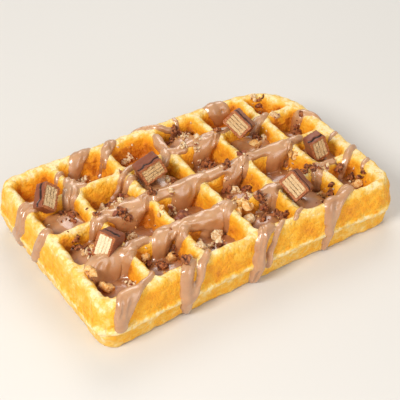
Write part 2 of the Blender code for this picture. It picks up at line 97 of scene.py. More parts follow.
# How far the skin wanders: wavelengths at the pocket edges along x and y, of the whole skin and of
# its small lumps, the share of the first, and the width inside the rim over which the edges calm
EDGE_WAVES = (17 * MM, 15 * MM)
SKIN_WAVE, LUMP_WAVE, SKIN_SHARE = 15 * MM, 5 * MM, 0.6
RIM_CALM = 2 * MM
# pocket wall: distance in from the pocket's edge, depth, in mm
WALL = ((-1.2, 0.0), (0.6, 1.9), (3.0, 12.0))
# side from the rim's flat to the base: offset outwards, height above mid height, in mm
SIDE = (
    (-2.2, 14.5), (-0.8, 13.85), (0.1, 11.75), (0.9, 7.6), (1.6, 3.6), (2.0, 1.5), (1.7, 0.7),
    (2.3, 0.0), (2.8, -0.7), (2.8, -2.4), (2.3, -3.5), (1.5, -4.4), (1.1, -6.6), (0.1, -11.75),
    (-0.8, -13.85), (-2.2, -14.5),
)
# Chart lines at fineness 1: on a wall, by distance in from the pocket's edge in mm, and how many
# there are on a floor and on a rib, and how far apart they lie on the side
WALL_LINES = (-1.6, -1.1, -0.6, -0.1, 0.4, 0.8, 1.2, 1.6, 2.0, 2.4, 2.8, 3.3)
FLOOR_LINES, RIB_LINES = 9, 2
SIDE_STEP = 1 * MM
# Brownness from 0 to 1 by depth in a pocket in mm, partly baked colour, partly painted shade
BROWN_AND_SHADE_BY_DEPTH = ((0, 0.6, 1.6, 3.0, 6.0, 10.0, 12.0), (0.0, 0.06, 0.24, 0.44, 0.62, 0.82, 0.78))
# and by distance down the side in mm: from the rim, either side of the seam, and near the base
BROWN_RIM = ((0, 2.5, 6), (0.0, 0.10, 0.34))
BROWN_SEAM = ((-3, -1, 0, 0.8, 3, 4.6), (0.44, 0.30, 0.22, 0.0, 0.0, 0.13))
BROWN_BASE = ((28, 32), (0.20, 0.10))
# painted shade in a pocket's corners, over this distance, and pits along the seam; painted light pales the
# left side
CORNER_SHADE, CORNER_NEAR = 0.35, 6 * MM
PIT_BROWN, PIT_SPREAD = 0.35, 0.9
LEFT_SIDE_PAINTED_LIGHT = 0.62

# Sauce: places it runs through, in mm, as (x, y, half width, thickness)
STRANDS = (
    # drips over the left rim
    ((-68, 24, 3, 1.6), (-74, 26, 3.6, 1.9), (-80, 26, 3.8, 2.1), (-86, 24.5, 3.9, 2.2),
     (-91, 25, 3.8, 2.2), (-97, 27, 3.6, 2.1), (-103, 29.5, 3.2, 2), (-107.5, 30, 2.4, 1.8)),
    ((-73, 9, 1.8, 1.4), (-79, 6, 2, 1.7), (-85, 4.5, 2.4, 1.9), (-92, 6.8, 2.7, 2.1),
     (-99, 9, 2.6, 2.1), (-105, 12.5, 2.1, 1.8)),
    # left column
    ((-34, 53, 3, 1.6), (-37, 49.5, 3.5, 1.8), (-40.5, 47.5, 3.9, 2.1), (-43.5, 45.8, 3.9, 2.2),
     (-46, 44.5, 3.9, 2.2), (-49, 40, 3.9, 2.2), (-52.5, 33, 4.2, 2.2), (-56, 26.8, 4.5, 2.3),
     (-59, 23.4, 3.8, 2.2), (-61, 22.2, 3.1, 2.2), (-62.3, 21.4, 2.6, 2), (-63.3, 20.8, 1.9, 1.7)),
    ((-57, 26.5, 3.2, 2), (-51.5, 26.5, 2.6, 1.8)),
    ((-49, 40, 1.5, 1.5), (-52.5, 41.5, 1.5, 1.6), (-56, 40, 1.5, 1.6), (-59.6, 38, 1.5, 1.6),
     (-60.8, 36, 1.3, 1.4)),
    ((-22, 50, 2.2, 1.5), (-25, 46.5, 2.2, 1.7), (-28.5, 43.6, 1.8, 1.7), (-30.8, 42, 1.6, 1.7),
     (-32, 41.5, 1.5, 1.6), (-33.3, 40.9, 1.3, 1.4)),
    ((-20, 49, 1.6, 1.4), (-23.5, 45.5, 1.5, 1.5), (-27.5, 42, 1.5, 1.5), (-30.8, 39.4, 1.4, 1.4),
     (-32, 38.6, 1.3, 1.2)),
    # second column
    ((-20.5, 27, 1.9, 1.8), (-24, 25.2, 2, 1.9), (-28.4, 23.5, 2, 1.9), (-31.8, 21.9, 1.8, 1.9),
     (-34, 21.2, 2, 1.9), (-36.6, 20.2, 2.4, 1.8)),
    ((-19, 23.5, 2, 1.8), (-23, 20.5, 2, 1.9), (-27.4, 17.6, 2.2, 2.1), (-30.7, 17, 2.2, 2.1),
     (-32.5, 17.4, 2.4, 2.1), (-35, 17, 2.7, 2), (-38, 15, 3, 1.8)),
    ((-48, 3.5, 3, 2), (-53, 0.8, 3.9, 2.3), (-57, -2.2, 3.6, 2.3), (-60.6, -3.6, 2.6, 2.1),
     (-62.8, -4.5, 1.8, 1.7)),
    ((-54, 0.8, 3.9, 2.3), (-46, 1, 4.2, 2.4), (-38, 1.2, 4.2, 2.5), (-31, 1.2, 3.8, 2.4),
     (-25, 1.4, 3, 2.2), (-18, 2.6, 2.2, 1.9)),
    ((-46, -1.2, 4.4, 2.3), (-45.5, -3, 4.3, 2.3), (-44.8, -4.6, 3.4, 1.9)),
    ((-26.4, 3, 2.4, 2), (-31.5, 0.3, 3.6, 2.5), (-36, -2.2, 4.4, 2.6), (-38.7, -3.6, 4, 2.5),
     (-40.6, -4.9, 2.8, 2.1)),
    ((-26.3, 1.2, 1.3, 2.6), (-30.7, -2.3, 1.3, 2.9), (-34, -3.2, 1.3, 2.8), (-37.2, -4.3, 1.1, 2.2)),
    ((-45, -24.4, 2.4, 1.8), (-50.6, -25.8, 3, 2.2), (-56, -27, 4.2, 2.6), (-60, -28.2, 5.2, 2.9),
     (-62.7, -28.9, 6, 2.9), (-65.5, -29.9, 5, 2.5)),
    ((-52, -27.3, 1.3, 2.6), (-55.6, -28.3, 1.3, 3.2), (-58.4, -29.3, 1.3, 3.2),
     (-60.4, -30.3, 1.2, 2.6)),
    ((-60, -25.6, 3.6, 2.2), (-67, -26, 3.9, 2.4), (-73.4, -27, 4, 2.4), (-75.8, -29.4, 3.6, 2.1)),
    ((-66, -26.2, 4, 2.3), (-69.5, -28.2, 4.6, 2.5), (-72, -30, 4.2, 2.2)),
    # third column
    ((0.5, 40.5, 2.3, 1.6), (-0.6, 36, 3, 1.8), (-1.4, 31, 3.1, 1.9), (-2.2, 27, 2.9, 1.9),
     (-4.1, 23.8, 2.3, 1.7), (-6, 22.2, 1.8, 1.5)),
    ((-2.3, 26.7, 2, 1.7), (1.4, 25, 2.2, 1.7), (5.8, 23, 2.3, 1.6)),
    ((-25, -0.2, 3.2, 2.2), (-17, -0.4, 3.5, 2.4), (-9, -0.8, 3.4, 2.4)),
    ((-3.3, -0.7, 4, 2.3), (-8.5, -2.5, 6.6, 2.6), (-11.9, -3.5, 6.8, 2.6), (-14.2, -4.4, 5, 2.2)),
    ((3, -1.4, 2.4, 2.5), (-1.6, -2.6, 2, 3), (-4.7, -3.7, 1.6, 3), (-7.6, -4.7, 1.3, 2.5)),
    ((-20, -25.4, 3, 2.2), (-28.1, -25.3, 3.4, 2.5), (-34.1, -26.5, 4.5, 2.8), (-38.2, -28.1, 5, 2.9),
     (-40.1, -29.3, 4.5, 2.7), (-42.2, -30.7, 3.9, 2.3)),
    ((-23.2, -27.2, 2.4, 2.2), (-27, -28.6, 2.6, 2.6), (-29.8, -30.6, 2.6, 2.6),
     (-31.5, -30.6, 2.4, 2.4), (-33.8, -30, 1.9, 1.9)),
    ((-26, -26.6, 3, 2.3), (-18, -27.2, 4.3, 2.5), (-10.8, -27.2, 4.8, 2.7), (-4.8, -26.8, 4.4, 2.7),
     (2.5, -25.5, 3, 2.3)),
    ((2, -26.1, 2.5, 2.3), (-3, -27.8, 3.6, 2.7), (-7.4, -28.6, 4.4, 2.8), (-12.7, -29.9, 4, 2.4)),
    # along the middle rib and down its wall
    ((-8.6, -1, 2.6, 2.3), (-0.4, -0.9, 3, 2.5), (8.1, -0.5, 3, 2.5), (15.9, -0.9, 3, 2.5),
     (24.3, -1, 3, 2.5), (31.1, -0.5, 2.6, 2.3), (39.4, 0.1, 2.8, 2.3), (46.4, -0.4, 3, 2.5),
     (54.7, -0.3, 2.9, 2.4), (61.7, -0.3, 2.4, 2)),
    ((26.6, -2, 2.4, 2.3), (23.4, -2.8, 4.4, 2.7), (19.4, -3.3, 5.5, 2.8), (16.9, -4.6, 4.2, 2.3)),
    ((27.4, -1.6, 1.4, 2.6), (26, -3.4, 1.4, 3), (24.2, -4.4, 1.3, 2.8), (21.8, -4.9, 1.1, 2.4)),
    ((53.4, -2, 2.6, 2.4), (48.3, -3, 5, 2.9), (44.9, -3.8, 6.3, 2.9), (42.9, -4.8, 4.5, 2.4)),
    ((54.6, -2.6, 1.4, 2.6), (52.2, -4.2, 1.3, 2.8), (49.8, -4.8, 1.2, 2.3)),
    # fourth column
    ((-7, 53.5, 1.4, 1.4), (-3.5, 51.5, 1.5, 1.5), (-0.5, 50.3, 1.6, 1.6), (2.5, 49.5, 1.7, 1.7),
     (5.9, 47.7, 1.8, 1.8), (9.5, 45.8, 1.9, 1.8), (14.2, 44.4, 1.9, 1.8), (19, 43.7, 1.7, 1.6)),
    ((17, 50, 1.1, 1.2), (16.1, 46, 1.2, 1.3), (15.6, 44.6, 1.2, 1.3)),
    ((36, 26.5, 1.9, 1.8), (28, 26.2, 2.8, 2.2), (22, 26, 3.2, 2.4), (16, 26.2, 3.2, 2.4),
     (10, 26, 2.6, 2), (4, 25.5, 2.2, 1.7)),
    ((27.2, 25.2, 2.2, 2.1), (21.8, 23.4, 4.2, 2.6), (18, 22, 5.8, 2.7), (15, 20.8, 4.5, 2.3)),
    ((26.9, 23.7, 1.3, 2.4), (24.2, 21.9, 1.3, 2.8), (21.4, 20.9, 1.2, 2.3)),
    # fifth column
    ((39, 54, 2.6, 1.5), (40.2, 50, 3.2, 1.8), (39.4, 46, 3.9, 2.1), (41.7, 44.5, 3.5, 2)),
    ((44, 51, 2.4, 1.4), (45, 47.5, 2.9, 1.7), (46.4, 45.4, 2.9, 1.8)),
    ((35, 49.5, 1.2, 1.6), (36.2, 47, 1.2, 2), (37.8, 45, 1.2, 2), (40.5, 43.9, 1.1, 1.7)),
    ((61, 26, 1.7, 1.5), (57, 24.9, 2, 1.7), (52.9, 23.6, 2.5, 1.9), (50.6, 21.9, 2.9, 2.2),
     (48.4, 20.5, 3.4, 2.2), (45.5, 19.6, 2.5, 1.9)),
    ((37, -25.2, 2.4, 2), (28.5, -25.6, 2.9, 2.3), (22.3, -25.6, 2.9, 2.2), (16.5, -25, 2, 1.7)),
    ((27.4, -26.6, 2.5, 2.1), (23.2, -27.6, 4, 2.5), (20.8, -28.6, 4.4, 2.5), (18.5, -29.8, 3.5, 2.1)),
    ((28.5, -45.6, 1.1, 1.2), (25.5, -47.6, 1.2, 1.4), (22, -50.2, 1.1, 1.3)),
    # right column
    ((86, 4, 1.5, 1.4), (83, 8.5, 1.8, 1.6), (80.3, 13.3, 2.1, 1.8), (76.5, 15.8, 3, 2),
     (74, 16.2, 3.9, 2.1), (72.2, 15.6, 3.4, 2), (69, 13.5, 3, 1.6)),
    ((84, -6, 1.1, 1.2), (81, -6.9, 1.2, 1.4), (77.4, -7.9, 1.2, 1.4), (74.6, -9.2, 1, 1.2)),
    ((85, -20.5, 1.7, 1.4), (80.5, -22, 2, 1.7), (76.2, -24.3, 2, 1.9), (72, -26.7, 2, 2),
     (69.2, -28.3, 1.8, 1.9), (66.5, -29.9, 1.6, 1.6)),
    ((84.5, -31.5, 1.1, 1.2), (81.2, -32.3, 1.2, 1.4), (77, -33.9, 1.2, 1.4), (74.6, -35, 1.1, 1.2)),
    ((53.6, -25.2, 2.5, 1.9), (52.4, -27.8, 3.2, 2.1), (51.4, -29.6, 3.1, 1.9)),
    ((57, -24.9, 2, 1.7), (64.6, -25.3, 2, 1.6)),
    # drips over the front rim
    ((-61, -41, 3.2, 1.6), (-65.5, -46.5, 3.7, 1.9), (-69.8, -50, 4.1, 2.1), (-72.6, -52.4, 4.1, 2.1),
     (-74.3, -55.6, 4.1, 2.1), (-75.5, -60.3, 3.9, 2.1), (-76.2, -64.3, 3.2, 1.9)),
    ((-51, -42, 1.3, 1.3), (-54.3, -45, 1.5, 1.5), (-59, -47.2, 1.7, 1.9), (-65, -50.8, 1.9, 2.3),
     (-68.4, -54.5, 1.9, 2.3), (-71.3, -58.9, 1.8, 2.2), (-73.3, -62.6, 1.5, 2)),
    ((-31.5, -42.5, 2.9, 1.6), (-35, -47, 3.3, 2), (-38, -50, 3.6, 2.3), (-40.2, -54.5, 3.6, 2.5),
     (-41, -60.7, 3.6, 2.5), (-40.9, -69.6, 3.3, 2.4), (-40.4, -76, 2.7, 2.1),
     (-40.2, -78.6, 2.1, 1.8)),
    ((-23.5, -45, 1.6, 1.4), (-27, -48.5, 1.9, 1.8), (-31.1, -52.1, 2.2, 2.3),
     (-33.4, -58.2, 2.2, 2.6), (-36.2, -63.8, 2, 2.5), (-37.5, -70.5, 1.7, 2.2)),
    ((12, -42, 2.9, 1.8), (8, -47, 3.2, 2.1), (4.5, -50, 3.4, 2.4), (2, -53.7, 3.4, 2.7),
     (0.3, -59.3, 3.4, 2.8), (-0.9, -64.7, 3.6, 2.8), (-1.2, -74, 3.6, 2.6), (-1.6, -78.6, 2.9, 2.2)),
    ((19, -45.5, 1.2, 1.4), (15.1, -48.9, 1.4, 1.7), (11.1, -52.8, 1.7, 2.3), (8.4, -57.9, 1.8, 2.6),
     (5.8, -62.9, 1.8, 2.7), (4, -70.5, 1.7, 2.4)),
    ((50, -42, 2.9, 1.6), (46, -47, 3.1, 1.9), (42.6, -50.5, 3.1, 2.2), (41.1, -57, 2.7, 2.4),
     (40.5, -63, 2.4, 2.4), (41, -72, 2.3, 2.3), (40.7, -78.6, 2, 2)),
    ((64, -42.5, 1.8, 1.3), (58, -45.8, 2, 1.6), (52.7, -48.8, 2.1, 2), (47.2, -52.8, 2.1, 2.4),
     (44.2, -58.6, 1.8, 2.3), (41.9, -64.3, 1.5, 2)),
    ((46, -46, 2.7, 1.8), (54, -45, 2.6, 1.8), (61, -43.6, 2.2, 1.5)),
)
# Distance between the stations of a strand, how much its width wobbles and over what distance
STRAND_STEP = 0.7 * MM
WIDTH_WOBBLE, WIDTH_WAVE = 0.07, 9 * MM
# Slope of a strand's edge, as rise over run
EDGE_SLOPE = 1.7
# Folds along a wide strand: half waves from its middle to its edge, depth as a share of thickness,
# the half width that brings them out and the distance over which they come and go
FOLDS, FOLD_DEPTH = 2.6, 0.30
FOLD_WIDTH, FOLD_WAVE = 2 * MM, 11 * MM
# Shares of the sauce's sink at which its surface stops below the crust and at which it ends
STOP_SHARE, END_SHARE = 0.8, 0.75
# Thickness at which sauce is fully draped and from which it is averaged, and the share of it that
# always stands above the crust
DRAPED_AT, AVERAGED_FROM, LEAST_STAND = 1.6 * MM, 0.3 * MM, 0.5
# Depth below the rib tops at which the painted shade on the sauce is darkest, and the fixed share of
# painted shade on the side
SHADE_DEPTH, SIDE_SHADE = 10 * MM, 0.25

# Sauce that lies in pockets and under the wafer pieces: centre, half sizes, level of its middle
# against the rib tops and how far its middle stands above its edge, in mm
POOLS = (
    (-68, 13, 13.5, 12.5, -4.6, 4), (-67, -15, 13, 12, -5.2, 3.6), (-17, 13.5, 14, 12.5, -3.6, 4.8),
    (41, 14, 14, 12, -4.2, 4.2), (38, -37, 13.5, 12, -4.8, 3.8), (65, -13, 12, 12, -5, 3.6),
    (-38, 7, 11, 7, -2.2, 5.5), (14, 35, 11.5, 9, -3.4, 5), (14, -37, 11, 8.5, -6.4, 3.5),
    (-66, -37, 12, 9, -8.4, 2), (-42, -12, 10, 8, -9.4, 1.4), (-42, -37, 11, 9, -8.8, 1.6),
    (-14, -12, 11, 8, -9.4, 1.4), (-14, -37, 11, 9, -8.6, 1.6), (14, -12, 11, 8, -9, 1.6),
    (14, 12, 11, 8, -8.8, 1.8), (42, -12, 11, 8, -9.4, 1.2), (66, -37, 9, 8, -9.2, 1.4),
    (66, 12, 8, 8, -9.2, 1.4),
)
POOL_WOBBLE, POOL_WAVES = 0.20, 0.45 * MM

# Crumbs: x, y, spread, how many, radius in mm, kind (c chocolate, w wafer, n nut)
CRUMBS = (
    (-74, 16, 1, 1, 2.9, "w"), (-63, 13, 2.5, 3, 1.7, "c"), (-66, 18, 2, 3, 1.2, "c"),
    (-42, 42, 1, 1, 2.2, "w"), (-47, 38, 1.2, 2, 1.5, "w"), (-46, 17, 0.8, 1, 3, "w"),
    (-42, 14, 1.5, 3, 1.8, "c"), (-35, 13, 1, 2, 1.9, "c"), (-40, 8, 2.5, 3, 1.2, "w"),
    (-46, -3, 1.5, 3, 1.9, "c"), (-42, -4, 1.5, 3, 1.5, "c"), (-26, 0, 0.8, 2, 1.8, "c"),
    (-14, 44, 1, 2, 1.9, "w"), (-18, 43, 1.5, 3, 1.4, "w"), (-71, -5, 1.6, 4, 1.7, "c"),
    (-69, -9, 1.6, 3, 1.5, "c"), (-69, -13, 2, 4, 1.5, "w"), (-65, -11, 2.5, 4, 1.2, "n"),
    (-77, -29, 0.4, 1, 2.4, "n"), (-72, -35, 0.4, 1, 2.8, "n"), (-62, -39, 1.5, 2, 1.5, "w"),
    (-45, -11, 1.5, 3, 1.6, "w"), (-47, -8, 1.5, 2, 1.6, "c"), (-48, -29, 0.8, 1, 2.4, "n"),
    (-47, -31, 1, 2, 1.5, "c"), (-45, -36, 1.8, 3, 1.9, "c"), (-41, -38, 1.8, 2, 1.7, "c"),
    (-36, -33, 0.8, 1, 2.4, "n"), (-34, -32, 1.2, 2, 1.4, "c"), (-38, -49, 0.3, 1, 2.6, "c"),
    (-35, -47, 1, 2, 1.2, "c"), (-20, -35, 0.5, 1, 2.9, "w"), (-17, -38, 1.8, 3, 1.3, "w"),
    (-10, -34, 0.4, 1, 3.4, "w"), (-13, -38, 1.5, 2, 1.4, "c"), (-25, -41, 1.5, 2, 1.8, "w"),
    (14, 43, 2, 4, 1.9, "c"), (20, 42, 2, 3, 1.7, "c"), (10, 40, 2, 4, 1.5, "c"),
    (16, 38, 3, 5, 1.2, "w"), (8, 25, 1.2, 2, 1.6, "w"), (17, 26, 1.2, 2, 1.6, "w"),
    (28, 26, 0.8, 2, 1.9, "c"), (13, 21, 3, 6, 1.1, "w"), (16, 15, 2.6, 5, 1.8, "c"),
    (18, 12, 2.6, 4, 1.6, "c"), (10, 12, 2.6, 3, 1.4, "w"), (16, -1, 0.8, 2, 1.8, "c"),
    (-9, 10, 1.8, 3, 1.8, "c"), (-11, 13, 1.5, 2, 1.6, "w"), (-19, -4, 1.6, 3, 1.5, "w"),
    (-17, -7, 3, 5, 1.1, "w"), (13, -7, 1.8, 3, 1.9, "c"), (16, -9, 1.8, 2, 1.9, "w"),
    (23, -11, 1.5, 3, 1.6, "c"), (20, -14, 2.4, 3, 1.4, "c"), (4, -23, 0.6, 2, 1.8, "c"),
    (5, -28, 0.8, 1, 2.4, "n"), (9, -27, 0.8, 1, 2.6, "n"), (12, -25, 1.5, 3, 1.6, "w"),
    (7, -24, 2, 4, 1.3, "n"), (18, -28, 0.8, 2, 2.4, "c"), (19, -31, 1.2, 3, 1.6, "c"),
    (10, -34, 0.4, 1, 3.3, "w"), (13, -37, 1.2, 2, 1.3, "c"), (21, -37, 1.5, 3, 1.9, "c"),
    (24, -41, 1.2, 3, 1.8, "c"), (47, 16, 1.2, 2, 1.7, "c"), (43, 12, 1.5, 2, 2, "n"),
    (52, 14, 1.8, 3, 1.3, "w"), (28, 2, 0.6, 2, 1.7, "c"), (63, 43, 0.8, 2, 1.7, "w"),
    (66, 40, 0.8, 2, 1.5, "c"), (62, 37, 1.5, 2, 1.3, "c"), (63, 22, 0.8, 1, 2.2, "w"),
    (73, 15, 1.5, 3, 1.8, "c"), (71, 12, 1.5, 3, 1.6, "c"), (53, -9, 0.6, 1, 2.4, "n"),
    (50, -12, 1.5, 2, 1.3, "n"), (51, -26, 1.4, 3, 1.7, "c"), (57, -28, 1, 2, 1.6, "w"),
    (47, -24, 2, 4, 1.4, "c"), (45, -29, 1.8, 3, 1.5, "n"), (65, -28, 0.4, 1, 2.8, "c"),
    (72, -33, 1.2, 2, 2, "c"), (70, -38, 1.2, 1, 2.4, "n"), (73, -38, 1.2, 2, 1.8, "c"),
    (52, -40, 1.2, 2, 2, "c"), (49, -35, 1.4, 2, 1.9, "n"), (44, -44, 1.5, 2, 1.6, "c"),
    (-29, 25, 1.2, 1, 1.2, "c"), (-57, 1, 1, 1, 1.3, "c"), (-30, -12, 2.5, 2, 1.2, "n"),
)

# Kinds of crumb: piece, slot, form as shares of the radius, share of lumps with a coat on one side
CRUMB_KINDS = {
    "c": ("chocolate_crumbs", "milk_chocolate", (1.25, 1.0, 0.6), 0.25),
    "w": ("wafer_crumbs", "crisp_wafer", (1.15, 1.0, 0.7), 0.35),
    "n": ("nut_crumbs", "crisp_wafer", (1.1, 0.95, 0.85), 0.6),
}
# Crumbs above this radius in mm are large: a few lumps of a share of it, apart by shares of that
LARGE, LUMP_SHARE, LUMP_APART = 1.0, 0.90, (0.42, 0.42, 0.25)
# How far the middle of a large and of a fine crumb stands above what it lies on, in radii
LARGE_LIFT, FINE_LIFT = 0.3, 0.1
# Radius of a fine crumb in a cluster and of a loose one, in mm
FINE_RADIUS, LOOSE_RADIUS = (0.3, 0.85), (0.22, 0.5)
LOOSE_AREA = ((-76, -46), (74, 46))
# Crumbs fall from this height, and not through to below this level
DROP_FROM, DROP_LEAST = 0.09, 5 * MM

# Wafer bar pieces: name, turn about X, Y and Z in degrees, length, place of the crack in the top
# layer from the front end in mm, and how pale the wafer is from 0 to 1
PIECES = (
    ("left", (36, -33, -62), 7.0, 3.0, 0.25),
    ("front_left", (-97, -27, -151), 10.4, 5.0, 0.95),
    ("middle", (21, -15, -99), 11.4, 2.9, 0.0),
    ("back", (-36, -29, -139), 11.6, 3.2, 0.1),
    ("front_right", (-37, -31, -143), 12.3, 3.6, 0.2),
    ("right", (-74, -7, -94), 7.8, 2.8, 0.1),
)
BAR_WIDTH, BAR_THICK = 12.9 * MM, 9.3 * MM
COAT = 1.3 * MM
BAR_ROUND, COAT_INSIDE_ROUND, WAFER_ROUND = 1.1 * MM, 0.4 * MM, 0.3 * MM
# Spacing of a coat's rings, rings over its broken ends as shares of the wall, and their wear
COAT_STEP = 0.32 * MM
END_SHARES = (0.2, 0.45, 0.7, 0.9)
WORN_END = 0.7 * MM
# Half width and depth of a coat's crack, and how far the coat steps down past it
CRACK_WIDTH, CRACK_DEPTH, CRACK_STEP = 0.42 * MM, 0.9 * MM, 0.35 * MM
# Pieces whose crack runs over the narrow side of the coat
CRACKED_SIDE = ("front_left", "right")
# How far the wafer's ends stay inside the coat's, and its sides reach into it
WAFER_SHORT, WAFER_INTO = 0.25 * MM, 0.1 * MM

# Camera, found from the photograph's rib crossings
CAMERA_AZIMUTH, CAMERA_ELEVATION = math.radians(-33.1), math.radians(39.8)
CAMERA_DISTANCE = 537.3 * MM
CAMERA_TARGET = (-8.50 * MM + GRID_SHIFT[0], -14.83 * MM + GRID_SHIFT[1], THICKNESS)
IMAGE_WIDTHS = 2.787
SENSOR = 36.0

# Studio: floor, and for each light its place and width in metres, colour, and share of a setting
FLOOR_HALF, FLOOR_LEVEL = 2.0, -0.05 * MM
LAMPS = (
    ("key", (-0.70, -0.22, 0.66), 0.30, (1.0, 0.96, 0.90), "key", 1.0),
    ("fill", (0.25, -0.85, 0.40), 0.60, (1.0, 0.98, 0.95), "fill", 0.8),
    ("rim", (0.35, 0.55, 0.75), 0.50, (1.0, 0.98, 0.95), "fill", 1.0),
)
SKY_COLOUR = (1.0, 0.985, 0.96, 1.0)


def pocket_edges(count, pitch, ends):
    """The low and high edge of each pocket along one direction."""
    ribs = (np.arange(1, count) - count / 2) * pitch
    lows = np.concatenate([[ends[0]], ribs + RIB_TOP / 2])
    highs = np.concatenate([ribs - RIB_TOP / 2, [ends[1]]])
    return lows, highs


def eased_table(stops, values, blur, samples=900):
    """A run of straight pieces as a fine table, its bends eased by a running mean of width blur."""
    grid = np.linspace(stops[0] - blur, stops[-1] + blur, samples)
    sharp = np.interp(grid, stops, values)
    width = max(1, int(blur / (grid[1] - grid[0])) | 1)
    padded = np.pad(sharp, width // 2, mode="edge")
    return grid, np.convolve(padded, np.ones(width) / width, mode="valid")


def ripple(points, wavelength, seed, waves=9):
    """Soft noise from -1 to 1: the mean of sine waves of about one wavelength in seeded directions."""
    draw = np.random.default_rng(seed)
    ways = draw.normal(size=(waves, points.shape[-1]))
    lengths = np.linalg.norm(ways, axis=1)
    ways *= (math.tau / wavelength * draw.uniform(0.7, 1.4, waves) / lengths)[:, None]
    total = np.zeros(points.shape[:-1])
    for way, phase in zip(ways, draw.uniform(0, math.tau, waves)):
        total += np.sin(points @ way + phase)
    return np.clip(total / (0.9 * math.sqrt(waves)), -1, 1)


def unit(vectors):
    """Each vector divided by its length."""
    return vectors / np.maximum(np.linalg.norm(vectors, axis=-1, keepdims=True), 1e-12)


